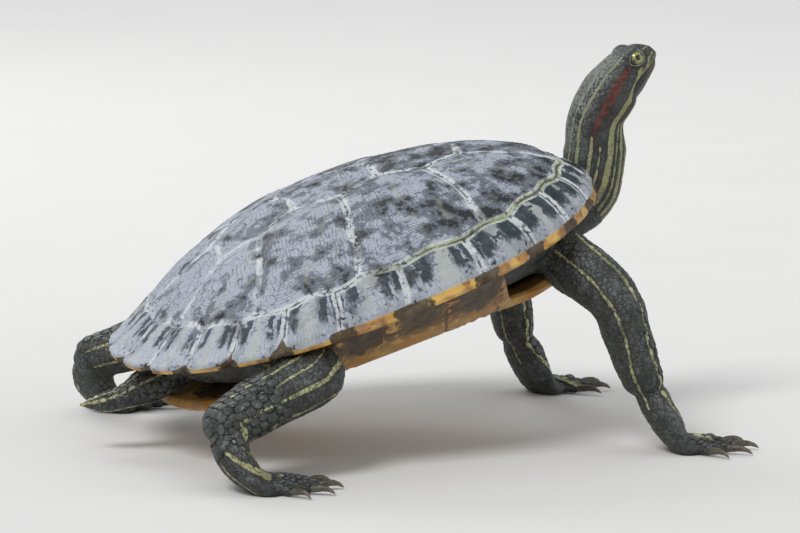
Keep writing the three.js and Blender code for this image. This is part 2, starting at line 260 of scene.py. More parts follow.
def distance_to(points, curves, step=0.8):
    """Distance in millimetres from each point to the nearest of these polylines."""
    starts, ends = [], []
    for curve in curves:
        for a, b in itertools.pairwise(curve):
            cuts = np.linspace(0, 1, int(np.linalg.norm(b - a) / step) + 2)[:, None]
            fine = a + cuts * (b - a)
            starts.append(fine[:-1])
            ends.append(fine[1:])
    starts, ends = np.vstack(starts), np.vstack(ends)
    nearest = nearest_of((starts + ends) / 2, points)
    a, step = starts[nearest], (ends - starts)[nearest]
    share = np.sum((points - a) * step, axis=1) / np.maximum(np.sum(step * step, axis=1), 1e-9)
    return np.linalg.norm(points - a - np.clip(share, 0, 1)[:, None] * step, axis=1)


# %% [markdown]
# ## A sheet wrapped round a piece
#
# A leg, a head and a shell are all closed tubes with a pole at each end. A grid primitive is
# laid out as such a tube: one of its directions runs round the piece and the other along it, and
# a formula says where each vertex goes. Merging the doubles then sews the seam and both poles.

# %% Wrap a grid round a piece
SEW = 1e-7


def laid_out(name, segments, rings, place):
    """A closed piece from place(around, along), which takes angles and shares and gives points."""
    start_fresh()
    steps = {"x_subdivisions": segments, "y_subdivisions": rings}
    bpy.ops.mesh.primitive_grid_add(**steps, size=2, calc_uvs=False)
    piece = bpy.context.object
    piece.name = name
    x, y, _ = (points_of(piece) * MM).T
    around = (np.round((x + 1) / 2 * segments) / segments % 1 - 0.5) * 2 * np.pi
    along = np.round((y + 1) / 2 * rings) / rings
    lay_points(piece, place(around, along))
    paint(piece, around=around, along=along)
    edit()
    bpy.ops.mesh.remove_doubles(threshold=SEW)
    bpy.ops.mesh.normals_make_consistent(inside=False)
    leave_edit()
    shares = []
    for name in ("around", "along"):
        layer = piece.data.attributes[name]
        shares.append(rows(layer.data, "value", 1)[:, 0])
        piece.data.attributes.remove(layer)
    return piece, *shares


def round_end(shares, length):
    """0 at both ends and 1 over the middle, round like a dome near the ends."""
    inset = np.minimum(np.minimum(shares, 1 - shares), length) / length
    return np.sqrt(1 - (1 - inset) ** 2)


def frame_on(path, shares, top):
    """The middle, side, up and ahead of a piece that follows a path."""
    step = 1e-3
    ahead = unit(along_path(path, shares + step) - along_path(path, shares - step))
    side = unit(np.cross(np.broadcast_to(top, ahead.shape), ahead))
    return along_path(path, shares), side, np.cross(ahead, side), ahead


def limb(name, path, girths, top=(0, 0, 1), segments=40, rings=60, end=0.16, grow=0.0):
    """Flesh along a path; each girth is a half-width and a half-height in millimetres."""
    def place(around, along):
        middle, side, up, _ = frame_on(path, along, top)
        wide, high = stations(girths, along).T + grow
        close = round_end(along, end)
        across = side * (np.cos(around) * wide * close)[:, None]
        return middle + across - up * (np.sin(around) * high * close)[:, None]
    return laid_out(name, segments, rings, place)[0]


# %% [markdown]
# ## The lie of the shell
#
# The shell is drawn level and then pitched nose-up as one, as the frame's shell is. Its rim is a
# superellipse that is a little wider behind, and its dome is full in front, steep at the sides
# and flared behind. A place on it is told by the angle round the rim and by the share of the way
# from the crown to the rim.

# %% Shape of the shell
SHELL_PITCH = math.radians(17.5)
SHELL_MIDDLE = np.array([-15, 0, 67.5])
SHELL_HALF_LENGTH, SHELL_HALF_WIDTH = 100, 77
DOME_HEIGHT = 36
CROWN = np.array([10, 0])
RIM_THICKNESS, LIP_DEPTH, LIP_SHARE, SHELL_WALL = 3, 6, 0.86, 5
MARGINALS = 12
CERVICAL_ANGLE = 0.055
MARGINAL_ANGLE = (math.pi - CERVICAL_ANGLE) / MARGINALS


def pitched(points):
    """From the level shell to the standing animal."""
    x, y, z = np.asarray(points, float).T
    c, s = math.cos(SHELL_PITCH), math.sin(SHELL_PITCH)
    return np.stack([c * x - s * z, y, s * x + c * z], axis=1) + SHELL_MIDDLE


def facing(angle):
    """Shares of front, side and rear in the direction of an angle."""
    ahead = np.cos(angle)
    return np.maximum(ahead, 0) ** 2, np.sin(angle) ** 2, np.maximum(-ahead, 0) ** 2


def marginal_place(angle):
    """Which marginal an angle falls in: whole numbers are seams, counted from the front."""
    return (np.abs(half_turns(angle)) - CERVICAL_ANGLE) / MARGINAL_ANGLE


def rim_point(angle, share=1.0):
    ahead = np.cos(angle)
    wide = SHELL_HALF_WIDTH * signed_power(np.sin(angle), 0.88) * (1 - 0.09 * ahead)
    long = SHELL_HALF_LENGTH * signed_power(ahead, np.where(ahead > 0, 0.84, 0.9))
    long = long - bump(wide, 13, 3) * (ahead > 0)
    rim = np.stack([long, wide], axis=-1)
    place = marginal_place(angle)
    from_seam = np.abs(place - np.round(place)) * 2
    serration = 2.2 * smooth(place, 6.6, 9) + 0.35
    notch = serration * np.maximum(0, 1 - 2.2 * from_seam) * share**8
    length = np.linalg.norm(rim, axis=-1)
    return rim * ((length - notch) / length)[..., None]


def dome_point(angle, share, crown=DOME_HEIGHT, rim_level=0.0):
    front, side, rear = facing(angle)
    power = 2 * front + 2.2 * side + 2.7 * rear
    flare = 0.6 * front + 0.62 * side + 1.5 * rear
    dome = (1 - np.minimum(share, 1) ** power) ** flare
    level = 3 * front - 2.5 * side + rim_level
    plan = CROWN + share[:, None] * (rim_point(angle, share) - CROWN)
    return np.column_stack([plan, lerp(level, crown, dome)])


def keel(x, y):
    return 1.4 * np.maximum(0, 1 - np.abs(y) / 12) ** 2 * smooth(x, -98, -60)


RIM_TABLE = np.linspace(-np.pi, np.pi, 1441)
RIM_SPREAD = rim_point(RIM_TABLE, 0.0) - CROWN


def plan_place(x, y):
    """Angle and share of a place that is given in plan."""
    bearing = np.arctan2(RIM_SPREAD[:, 1], RIM_SPREAD[:, 0])
    bearing[0], bearing[-1] = -np.pi, np.pi
    angle = np.interp(np.arctan2(y, x - CROWN[0]), bearing, RIM_TABLE)
    reach = np.linalg.norm(rim_point(angle, 0.0) - CROWN, axis=-1)
    return angle, np.hypot(x - CROWN[0], y) / reach


def lifted(plan, step=1.5):
    """A polyline in plan, cut into short steps and lifted on to the dome."""
    plan = np.asarray(plan, float)
    reach = run_of(plan)
    spots = np.linspace(0, reach[-1], max(2, int(reach[-1] / step)))
    x, y = np.interp(spots, reach, plan[:, 0]), np.interp(spots, reach, plan[:, 1])
    angle, share = plan_place(x, y)
    return dome_point(angle, np.minimum(share, 1))


print("rim:", 2 * SHELL_HALF_LENGTH, "x", 2 * SHELL_HALF_WIDTH, "mm")

# %% [markdown]
# ## The plates of the shell
#
# The bony shell is covered by horny plates with sunken seams: five vertebrals down the middle,
# four pleurals on each side, a narrow cervical in front and twelve marginals on each side. The
# seams could be cut with a knife tool, but then the growth rings would have to be drawn apart
# from them. Here the seams are short lines in plan, and every vertex learns how far it is from
# the nearest one. Grooves, rings and colours all come from that one distance.

# %% Places of the seams and pale bars
BORDER_FRONT, BORDER_SIDE, BORDER_REAR = 0.88, 0.885, 0.825
VERTEBRAL_SEAMS = [84, 50, 15, -20, -52, -78]
VERTEBRAL_EDGE = [
    (84, 19), (66, 16.5), (50, 14), (33, 22), (15, 15),
    (-3, 22), (-20, 14), (-37, 18.5), (-52, 10), (-76, 20),
]
# Each starts at a corner of a vertebral and ends at a marginal, counted from the front.
PLEURAL_SEAMS = [((33, 22), 4.5), ((-3, 22), 6.55), ((-37, 18.5), 8.6)]
BARS = [(2.6, 0.42), (5.5, 0.36), (7.6, 0.36), (9.9, 0.42)]


def border_share(angle):
    """Where the marginals begin, as a share of the way to the rim."""
    front, side, rear = facing(angle)
    scallop = 0.006 * np.cos(2 * np.pi * marginal_place(angle))
    return BORDER_FRONT * front + BORDER_SIDE * side + BORDER_REAR * rear + scallop


def in_plan(angle, share):
    return CROWN + np.asarray(share)[..., None] * (rim_point(angle, 0.0) - CROWN)


def marginal_angle(place):
    return CERVICAL_ANGLE + np.asarray(place, float) * MARGINAL_ANGLE


def mirrored(curves):
    """These curves and their mirror images on the other side of the animal."""
    return curves + [np.asarray(c) * ((1, -1) if np.shape(c)[1] == 2 else (1, -1, 1)) for c in curves]


# %% Draw the seams and bars and lift them on to the dome
ring = np.linspace(-np.pi, np.pi, 361)
border_line = in_plan(ring, border_share(ring))
marginal_seams = []
for number in range(MARGINALS):
    angle = marginal_angle(number)
    marginal_seams.append(in_plan(np.full(2, angle), [float(border_share(angle)), 1.0]))
marginal_seams = mirrored(marginal_seams) + [np.array([in_plan(math.pi, 0.8), in_plan(math.pi, 1.0)])]

pleural_seams = []
for (x, y), place in PLEURAL_SEAMS:
    angle = marginal_angle(place)
    end = in_plan(angle, float(border_share(angle)))
    middle = (np.array([x, y]) + end) / 2 + np.array([1.5, 0])
    pleural_seams.append(np.array([(x, y), middle, end]))

cross_seams = []
for x, (edge_x, edge_y) in zip(VERTEBRAL_SEAMS[1:5], VERTEBRAL_EDGE[2:9:2]):
    half = [(edge_x, edge_y), (x + 1.5, edge_y / 2), (x + 2.5, 0)]
    cross_seams.append(np.array(half + [(x, -y) for x, y in half[1::-1]]))

plate_seams = mirrored(pleural_seams + [np.array(VERTEBRAL_EDGE)]) + cross_seams
seam_curves = [lifted(line) for line in [border_line] + marginal_seams + plate_seams]

bars = []
for place, reach in BARS:
    for stretch in (
        [(-0.1, reach), (-0.02, 0.62), (0, 0.84)],
        [(-0.2, reach + 0.22), (-0.16, 0.72), (-0.13, 0.84)],
    ):
        angle = marginal_angle(place)
        bars.append(np.array([in_plan(angle + aside, share) for aside, share in stretch]))
bar_curves = [lifted(line) for line in mirrored(bars)]
print("seams:", len(seam_curves), "bars:", len(bar_curves))

# %% [markdown]
# ## The upper shell
#
# One closed grid is laid out as the carapace: rings from the crown to the rim, round the thin
# edge and back under it. A modelled surface is wanted for everything that shows in outline or
# catches the light: the sunken seams, the slight swell of each plate, the growth rings, the keel
# and the notched edge behind. They are moved along the surface's own normal.

# %% Model the upper shell
STEPS_PER_MARGINAL = 21
OUTER_RINGS, EDGE_RINGS, UNDER_RINGS, HOLLOW_RINGS = 112, 6, 12, 14

half_turn = [0.0]
for number in range(MARGINALS):
    step = np.arange(STEPS_PER_MARGINAL) / STEPS_PER_MARGINAL
    half_turn += list(marginal_angle(number + step - 0.4 * np.sin(2 * np.pi * step) / (2 * np.pi)))
half_turn.append(math.pi)
RIM_ANGLES = np.array(half_turn + [-angle for angle in half_turn[-2:0:-1]])
SHELL_RINGS = OUTER_RINGS + EDGE_RINGS + UNDER_RINGS + HOLLOW_RINGS


def carapace_place(around, along):
    index = np.round(-around / (2 * np.pi) * len(RIM_ANGLES)).astype(int) % len(RIM_ANGLES)
    angle = RIM_ANGLES[index]
    step = np.round(along * SHELL_RINGS)
    points = np.zeros((len(angle), 3))
    outer = step <= OUTER_RINGS
    share = np.sin(np.minimum(step / OUTER_RINGS, 1) * 1.25) / math.sin(1.25) * 0.995
    points[outer] = dome_point(angle[outer], share[outer])
    points[outer, 2] += keel(points[outer, 0], points[outer, 1])
    edge = np.clip((step - OUTER_RINGS) / EDGE_RINGS, 0, 1)
    under = np.clip((step - OUTER_RINGS - EDGE_RINGS) / UNDER_RINGS, 0, 1)
    rim = dome_point(angle, np.ones(len(angle)))
    inset = 0.995 + 0.005 * np.sin(np.pi * edge) - (0.995 - LIP_SHARE) * under
    depth = RIM_THICKNESS * edge + (LIP_DEPTH - RIM_THICKNESS) * under
    wrapped = np.column_stack([CROWN + inset[:, None] * (rim[:, :2] - CROWN), rim[:, 2] - depth])
    turned = ~outer & (step <= OUTER_RINGS + EDGE_RINGS + UNDER_RINGS)
    points[turned] = wrapped[turned]
    hollow = step > OUTER_RINGS + EDGE_RINGS + UNDER_RINGS
    share = np.clip((SHELL_RINGS - step) / HOLLOW_RINGS, 0, 1)
    inside = dome_point(angle[hollow], share[hollow], DOME_HEIGHT - SHELL_WALL, -LIP_DEPTH)
    inside[:, :2] = CROWN + LIP_SHARE * (inside[:, :2] - CROWN)
    points[hollow] = inside
    return points


carapace, _, _ = laid_out("carapace_shell", len(RIM_ANGLES), SHELL_RINGS, carapace_place)
print("upper shell:", len(carapace.data.polygons), "faces")

# %% Raise the plates of the upper shell
level = points_of(carapace)
plan_angle, plan_share = plan_place(level[:, 0], level[:, 1])
dome_level = dome_point(plan_angle, np.minimum(plan_share, 1))[:, 2]
topside = smooth(level[:, 2] - dome_level, -2.2, -0.9)
wavy = wavered(level, 0.9, 9, 1)
seam = distance_to(wavy, seam_curves)
bar = distance_to(wavy, bar_curves)
border = distance_to(wavy, seam_curves[:1])


def plate_relief(points, seam):
    """Height of the horn over the bone, from the distance to the nearest seam."""
    stretched = points * (0.35, 1, 1)
    groove = bump(seam, 0.55, -0.5) + bump(seam, 2.2, -0.3)
    swell = 0.55 * (1 - np.exp(-seam / 5))
    uneven = 0.35 * noise(points, 14, 4) + 0.16 * noise(stretched, 3.2, 5)
    wobble = seam + 0.7 * noise(points, 6, 6)
    rings = 0.15 * np.sin(2 * np.pi * wobble / 1.9) * smooth(seam, 1.0, 2.4)
    rings = rings * (1 - smooth(seam, 9, 17)) * (1 + 0.8 * noise(points, 11, 7))
    pits = -0.28 * smooth(noise(points, 3.4, 8) + 0.6 * noise(points, 1.9, 9), 0.25, 0.8)
    return groove + swell + (uneven + pits) * smooth(seam, 0, 3) + rings


relief = plate_relief(level, seam) * topside - 0.35
raised = normals_of(carapace) * relief[:, None] * smooth(topside, 0, 0.05)[:, None]
lay_points(carapace, level + raised)
print("plates raised by", round(relief.min(), 2), "to", round(relief.max(), 2), "mm")

# %% Tell the horn where its seams, bars and blotches are
place = marginal_place(plan_angle)
on_marginal = smooth(plan_share - border_share(plan_angle), -0.004, 0.004)
from_middle = np.abs(place - np.floor(place) - 0.5) * 2
plate_number = np.floor(place) + 20 * (level[:, 1] > 0) + 50 * (on_marginal > 0.5)
row = np.searchsorted(VERTEBRAL_SEAMS[::-1], level[:, 0])
plate_number += np.where(on_marginal > 0.5, 0, row * 3)
GOLDEN_STEP = 0.618
paint(
    carapace, seam=seam, bar=bar, border=border, marginal=on_marginal, from_middle=from_middle,
    underside=1 - topside, plate_tone=(plate_number * GOLDEN_STEP) % 1,
)
lay_points(carapace, pitched(points_of(carapace)))

# %% [markdown]
# ## The lower shell
#
# The plastron is a flat plate under the belly with two bridges that turn up into the rim. It is
# laid out in the same way: a closed grid whose two halves become its lower and upper faces. Its six
# pairs of plates are smoother than those above, with a seam down the middle.

# %% Model the lower shell
PLASTRON_LEVEL, PLASTRON_MIDDLE = -27, 2
PLASTRON_HALF_LENGTH, PLASTRON_THICKNESS = 90, 4.5
LOBE_HALF_WIDTH, BRIDGE_HALF_WIDTH = 44, 66.5
BRIDGE_REAR, BRIDGE_FRONT = -36, 40
BRIDGE_TOP, BRIDGE_FOOT, THROAT_RISE = -4, 40, 4


def plastron_half_width(x):
    share = np.abs((x - PLASTRON_MIDDLE) / PLASTRON_HALF_LENGTH)
    lobe = LOBE_HALF_WIDTH * np.sqrt(np.maximum(0, 1 - share**4))
    past_bridge = smooth(x, BRIDGE_FRONT - 3, BRIDGE_FRONT + 5)
    bridge = smooth(x, BRIDGE_REAR - 5, BRIDGE_REAR + 3) * (1 - past_bridge)
    return lobe + (BRIDGE_HALF_WIDTH - LOBE_HALF_WIDTH) * bridge


def plastron_under(x, y):
    outwards = np.clip((np.abs(y) - BRIDGE_FOOT) / (BRIDGE_HALF_WIDTH - BRIDGE_FOOT), 0, 1)
    rise = BRIDGE_TOP - PLASTRON_THICKNESS / 2 - PLASTRON_LEVEL
    throat = THROAT_RISE * smooth(x, 50, 95)
    return PLASTRON_LEVEL + throat + bump(y, 22, 1.5) + rise * outwards**1.15


def plastron_place(around, along):
    x = PLASTRON_MIDDLE + PLASTRON_HALF_LENGTH * np.cos(around)
    y = np.sign(np.sin(-around)) * plastron_half_width(x) * (np.abs(np.sin(around)) > 1e-6)
    upper = along > 0.5
    share = 1 - np.abs(2 * along - 1)
    spread = np.sin(np.minimum(share, 1) * np.pi / 2)
    x, y = x * spread, y * spread
    edge = np.sqrt(np.clip(1 - smooth(spread, 0.965, 1.0), 0, 1))
    height = PLASTRON_THICKNESS * (0.5 + np.where(upper, 0.5, -0.5) * edge)
    return np.column_stack([x, y, plastron_under(x, y) + height])


PLASTRON_SEGMENTS, PLASTRON_RINGS = 300, 120
plastron, _, _ = laid_out("plastron_shell", PLASTRON_SEGMENTS, PLASTRON_RINGS, plastron_place)
print("lower shell:", len(plastron.data.polygons), "faces")

# %% Seams and blotches of the lower shell
PLASTRON_SEAMS = [
    [(86, 0), (30, 0.8), (-20, -0.6), (-90, 0)],
    [(66, 0), (72, 12), (80, 30)],
    [(45, 0), (43, 22), (37, 50)],
    [(17, 0), (18, 30), (13, 66)],
    [(-20, 0), (-22, 24), (-36, 50)],
    [(-50, 0), (-55, 20), (-66, 46)],
    [(44, 50), (20, 52), (-10, 53), (-36, 48)],
    [(0, 53), (2, 66)],
]
PLASTRON_BLOTCHES = [
    (77, 10), (55, 22), (31, 27), (-2, 27), (-37, 23), (-70, 15),
    (28, 60), (4, 61), (-20, 59),
]
level = points_of(plastron)


def under_plastron(plan):
    """A polyline in plan, cut into short steps and lifted to the plate's lower face."""
    reach = np.linspace(0, 1, 24) * (len(plan) - 1)
    x, y = (np.interp(reach, np.arange(len(plan)), line) for line in np.transpose(plan))
    return np.column_stack([x, y, plastron_under(x, y)])


wavy = wavered(level, 1.1, 11, 11)
seam = distance_to(wavy, mirrored([under_plastron(line) for line in PLASTRON_SEAMS]))
blotch = np.min([
    np.hypot(wavy[:, 0] - x, (wavy[:, 1] - y * side) * 0.8)
    for x, y in PLASTRON_BLOTCHES for side in (-1, 1)
], axis=0)
growth = np.sin(2 * np.pi * (seam + noise(level, 8, 15)) / 2.6)
growth = growth * smooth(seam, 1, 3) * (1 - smooth(seam, 8, 16))
relief = bump(seam, 0.6, -0.4) + 0.2 * noise(level, 16, 14) + 0.05 * growth
lay_points(plastron, level + normals_of(plastron) * (relief - 0.15)[:, None])
paint(plastron, seam=seam, blotch=blotch, bridge=smooth(np.abs(level[:, 1]), 44, 56))
lay_points(plastron, pitched(points_of(plastron)))
print("lower shell: seams", len(PLASTRON_SEAMS), "blotches on each side", len(PLASTRON_BLOTCHES))

# %% [markdown]
# ## Head and neck
#
# The head gets the finest mesh of the whole animal. It could be sculpted by hand from a remeshed
# ball, but a head is easier to judge and to mend when each part of it is a named bump: brow,
# cheek, mouth line, nostrils, eardrum and folds. So the head and neck are one closed sweep along
# the spine, told by the distance back from the snout and the angle round from the crown.

# %% Girths of the head and neck along the spine
HEAD_PITCH = math.radians(42)
SNOUT = np.array([109.5, 0, 148.5])
EYE_BACK, EYE_ASIDE, EYE_UP, EYE_RADIUS = 9.8, 6.3, 4.4, 4.1
NECK_CUT = 70
SWEEP_END = 104

HEAD_AHEAD = np.array([math.cos(HEAD_PITCH), 0, math.sin(HEAD_PITCH)])
HEAD_UP = np.array([-math.sin(HEAD_PITCH), 0, math.cos(HEAD_PITCH)])
SPINE_KNOTS = [
    SNOUT, SNOUT - 12 * HEAD_AHEAD, SNOUT - 24 * HEAD_AHEAD,
    (85.8, 0, 121.5), (85.7, 0, 107.5), (81.5, 0, 92.5), (67, 0, 84), (44, 0, 80),
]
spine_points = along_path(SPINE_KNOTS, np.linspace(0, 1, 1200))
spine_reach = run_of(spine_points)
print("spine:", round(spine_reach[-1], 1), "mm")

# Half-width, height above the spine and depth below it at each distance back from the snout.
SWEEP_BACK = [0, 3, 6, 10, 14, 18, 24, 30, 35, 41, 50, 62, 76, 90, 104]
SWEEP_WIDE = [3.8, 6.0, 7.4, 9.0, 10.4, 11.8, 13.6, 13.9, 12.8, 12.3, 12.9, 13.3, 14.8, 16.8, 17.8]
SWEEP_TOP = [4.0, 6.0, 7.6, 9.1, 9.7, 9.9, 9.9, 9.6, 10.0, 11.6, 12.9, 12.5, 12.6, 12.8, 12]
SWEEP_LOW = [3.8, 5.6, 6.5, 7.6, 8.5, 9.3, 10.2, 10.5, 10.0, 10.6, 11.7, 12.2, 12.6, 12.8, 12]


def eased(values, back):
    """The sweep's girth at a distance back, with the corners between stations rounded off."""
    fine = np.linspace(0, SWEEP_END, 449)
    table = np.interp(fine, SWEEP_BACK, values)
    window = np.hanning(25)
    padded = np.pad(table, len(window) // 2, mode="reflect", reflect_type="odd")
    return np.interp(back, fine, np.convolve(padded, window / window.sum(), "valid"))


def on_spine(back):
    return np.column_stack([np.interp(back, spine_reach, line) for line in spine_points.T])


def spine_frame(back):
    """The spine's middle and its upward direction at a distance back."""
    step = 0.4
    away = unit(on_spine(back + step) - on_spine(back - step))
    up = np.column_stack([away[:, 2], np.zeros(len(away)), -away[:, 0]])
    return on_spine(back), up


def sweep_point(back, turn):
    """A place on the head or neck; turn is the angle from the crown, to the left if positive."""
    middle, up = spine_frame(back)
    neck = smooth(back, 34, 52)
    boxy = lerp(0.84, 1.0, np.maximum(neck, 1 - smooth(back, 0, 6)))
    close = np.sqrt(1 - (1 - np.minimum(back / 5.0, 1)) ** 2)
    rise = signed_power(np.cos(turn), boxy)
    aside = signed_power(np.sin(turn), boxy) * eased(SWEEP_WIDE, back) * close
    height = np.where(rise > 0, eased(SWEEP_TOP, back), eased(SWEEP_LOW, back)) * rise * close
    return middle + up * height[:, None] + aside[:, None] * np.array([0, 1, 0])


# %% Lay a grid out as head and neck
# The segments crowd together at the height of the eyes and of the mouth.
turn_table = np.linspace(-np.pi, np.pi, 721)
crowding = 1 + bump(np.abs(turn_table) - 0.95, 0.42, 1.1) + bump(np.abs(turn_table) - 1.95, 0.3, 0.6)
turn_shares = summed(crowding)


def head_turn(around):
    return np.interp(around / (2 * np.pi) + 0.5, turn_shares, turn_table)


def head_back(along):
    """Three fifths of the rings go to the head, where the detail is; the neck's end is open."""
    fine = np.linspace(0, 1, 401)
    spacing = 1 + 1.9 * smooth(fine, 0.5, 0.72)
    return np.interp(along, fine, summed(spacing)) * NECK_CUT


def head_place(around, along):
    return sweep_point(head_back(along), head_turn(around))


HEAD_SEGMENTS, HEAD_RINGS = 168, 214
head, around, along = laid_out("skin", HEAD_SEGMENTS, HEAD_RINGS, head_place)
back, turn = head_back(along), head_turn(around)
print("head and neck:", len(head.data.polygons), "faces")

# %% [markdown]
# ## Features of the head
#
# A turtle has no lips or teeth: the jaws end in a horny beak, the upper one a little over the
# lower. The nostrils sit close together at the tip, the eardrum is a faint round dish behind the
# jaw, and the eye lies in a ring of wrinkled lids that follow the eyeball closely. Each is a
# bump or a dent of its own width and depth in millimetres.

# %% Sculpt the face
def beside(back, degrees):
    """A spot on the right side of the head or neck."""
    return sweep_point(np.array([float(back)]), np.array([-math.radians(degrees)]))[0]


face = points_of(head)
right_half = np.column_stack([face[:, 0], -np.abs(face[:, 1]), face[:, 2]])
from_snout = (SNOUT - face) @ HEAD_AHEAD
above = (face - SNOUT) @ HEAD_UP
mouth_level = -2.9 + 0.07 * from_snout - 1.7 * smooth(from_snout, 15.5, 20.5)
over_mouth = above - mouth_level
at_mouth = (1 - smooth(from_snout, 19, 21.5)) * (1 - smooth(back, 24, 28))
relief = bump(over_mouth, 0.42, -1.0) * at_mouth
relief += bump(over_mouth - 1.3, 0.9, 0.4) * at_mouth
relief -= 0.55 * smooth(-over_mouth, 0.2, 0.9) * (1 - smooth(-over_mouth, 4, 8)) * at_mouth

nostril = away_from(SNOUT - 0.9 * HEAD_AHEAD + 1.7 * HEAD_UP - (0, 1.6, 0), right_half)
relief += bump(nostril, 0.6, -1.0) + bump(nostril - 1.1, 0.4, 0.1)
for spot, width, height in (
    (beside(6.2, 66), 2.4, -0.4),  # hollow in front of the eye
    (beside(18.5, 46), 3.2, -0.35),  # temple
    (beside(25, 72), 6.0, 0.5),  # jaw muscle
    (beside(14, 38), 3.0, 0.35),  # brow behind the eye
    (beside(25, 128), 4.5, 0.7),  # corner of the lower jaw
    (beside(33, 20), 6.0, 0.4),  # back of the skull
):
    relief += bump(away_from(spot, right_half), width, height)
eardrum = away_from(beside(27.5, 92), right_half)
relief += bump(eardrum - 3.2, 0.5, -0.26) + bump(eardrum, 2.4, 0.12)

neck_share = smooth(back, 36, 50)
crosswise = furrows((back + 1.7 * noise(face, 8, 21) + 0.9 * noise(face, 3, 22)) / 3.1, 3.1, 0.55)
bunched = 0.35 + 0.65 * smooth(back, 56, 76) + 0.4 * smooth(np.abs(turn), 2.2, 3.0)
lengthwise = furrows((np.abs(turn) + 0.12 * noise(face, 9, 23)) / 0.3, 3.3, 0.6)
uneven = 0.6 + 0.5 * noise(face, 12, 24)
relief += neck_share * (0.3 * crosswise * bunched + 0.24 * lengthwise * uneven)
relief += neck_share * 0.35 * noise(face, 6, 25) + 0.12 * noise(face, 3.5, 26) * smooth(back, 3, 12)
face = face + normals_of(head) * (relief - 0.1)[:, None]

# %% Lay the lids over the eyeballs
LID_THICKNESS = 0.45
OPENING_LONG, OPENING_HIGH = 3.1, 2.55
LID_BLEND = 0.55


def eye_frame(side):
    """Centre of an eyeball, and its directions: outwards, forwards and upwards."""
    centre = SNOUT - EYE_BACK * HEAD_AHEAD + EYE_UP * HEAD_UP + np.array([0, side * EYE_ASIDE, 0])
    out = unit(0.16 * HEAD_AHEAD + 0.2 * HEAD_UP + np.array([0, side, 0]))
    forth = unit(HEAD_AHEAD - (HEAD_AHEAD @ out) * out)
    return centre, out, forth, np.cross(out, forth) * side


from_lid = np.full(len(face), 20.0)
for side in (-1, 1):
    centre, out, forth, upward = eye_frame(side)
    depth = away_from(centre, face)
    ray = (face - centre) / depth[:, None]
    bearing = np.arctan2(ray @ upward, ray @ forth)
    rim = 1 / np.sqrt((np.cos(bearing) / OPENING_LONG) ** 2 + (np.sin(bearing) / OPENING_HIGH) ** 2)
    rim += 0.4 * np.abs(np.cos(bearing)) ** 8
    gap = EYE_RADIUS * np.arccos(np.clip(ray @ out, -1, 1)) - rim
    lid = EYE_RADIUS + LID_THICKNESS + bump(gap - 0.3, 0.35, 0.16)
    over = (depth - lid) / LID_BLEND
    covered = lid + LID_BLEND * np.log1p(np.exp(np.clip(over, -30, 30)))
    covered = np.where(over > 20, depth, covered)
    folds = bump(gap - 1.15, 0.26, -0.24) + bump(gap - 2.0, 0.3, -0.2) + bump(gap - 3.1, 0.4, -0.14)
    covered += folds * bump(over, 5)
    laid = lerp(EYE_RADIUS - 0.9, covered, smooth(gap, -0.3, 0.28))
    near = (depth < 13) & (ray @ out > -0.35)
    face[near] = (centre + ray * laid[:, None])[near]
    from_lid[near] = np.minimum(from_lid, gap)[near]
lay_points(head, face)
print("lids laid; head top", round(face[:, 2].max(), 1), "mm")

# %% [markdown]
# ## Stripes
#
# The pale stripes of head and neck are what the animal is known by. They run lengthwise, so they
# are told in the sweep's own terms: how far back from the snout, and at what angle from the
# crown. Each vertex keeps its distance to the nearest stripe's edge, below zero inside it. A
# distance blends evenly over a face, so a material that cuts it at zero draws a clean edge.

# %% Places of the stripes of head and neck
# Each stripe is a list of (back in mm, degrees from the crown, half-width in mm).
PALE_STRIPES = [
    [(1.5, 0, 0.3), (7, 0, 0.35)],
    [(2.0, 40, 0.25), (5.6, 55, 0.4)],
    [(1.5, 80, 0.25), (7.5, 92, 0.4), (12, 96, 0.3)],
    [(17, 10, 0.25), (40, 12, 0.4), (104, 15, 0.6)],
    [(13.5, 33, 0.4), (24, 36, 0.5), (40, 33, 0.7), (104, 32, 0.8)],
    [(42, 62, 0.3), (50, 58, 0.7), (104, 52, 0.8)],
    [(46, 76, 0.2), (60, 72, 0.5), (104, 70, 0.6)],
    [
        (10.5, 86, 0.45), (16, 97, 0.8), (24, 108, 1), (32, 108, 1.2),
        (44, 98, 1.4), (60, 92, 1.4), (104, 88, 1.3),
    ],
    [(34, 122, 0.3), (50, 110, 0.5), (104, 105, 0.6)],
    [(2.5, 126, 0.4), (10, 128, 0.6), (20, 133, 0.9), (32, 136, 1.0), (46, 126, 1.0), (104, 122, 1.1)],
    [(9, 172, 0.4), (20, 160, 0.6), (32, 156, 0.7), (50, 143, 0.7), (104, 140, 0.8)],
    [(1.5, 180, 0.5), (9, 180, 0.6)],
    [(38, 172, 0.3), (52, 164, 0.6), (104, 160, 0.7)],
]
RED_PATCH = [(14.0, 64, 0.7), (18, 68, 1.7), (25, 73, 2.2), (33, 76, 1.9), (41, 70, 1.0), (46, 66, 0.3)]
FAR_OFF = 6.0  # The greatest distance that is kept, in millimetres.
print("stripes:", len(PALE_STRIPES))

# %% Keep each vertex's distance from the stripes
def stripe_gap(back, turn, girth, stripe):
    """Distance in millimetres from the stripe's edge, negative inside it."""
    stripe = np.array(stripe, float)
    centre = np.radians(np.interp(back, stripe[:, 0], stripe[:, 1]))
    half = np.interp(back, stripe[:, 0], stripe[:, 2])
    across = (np.abs(turn) - centre) * girth
    beyond = np.maximum(np.maximum(stripe[0, 0] - back, back - stripe[-1, 0]), 0)
    return np.hypot(across, beyond) - half


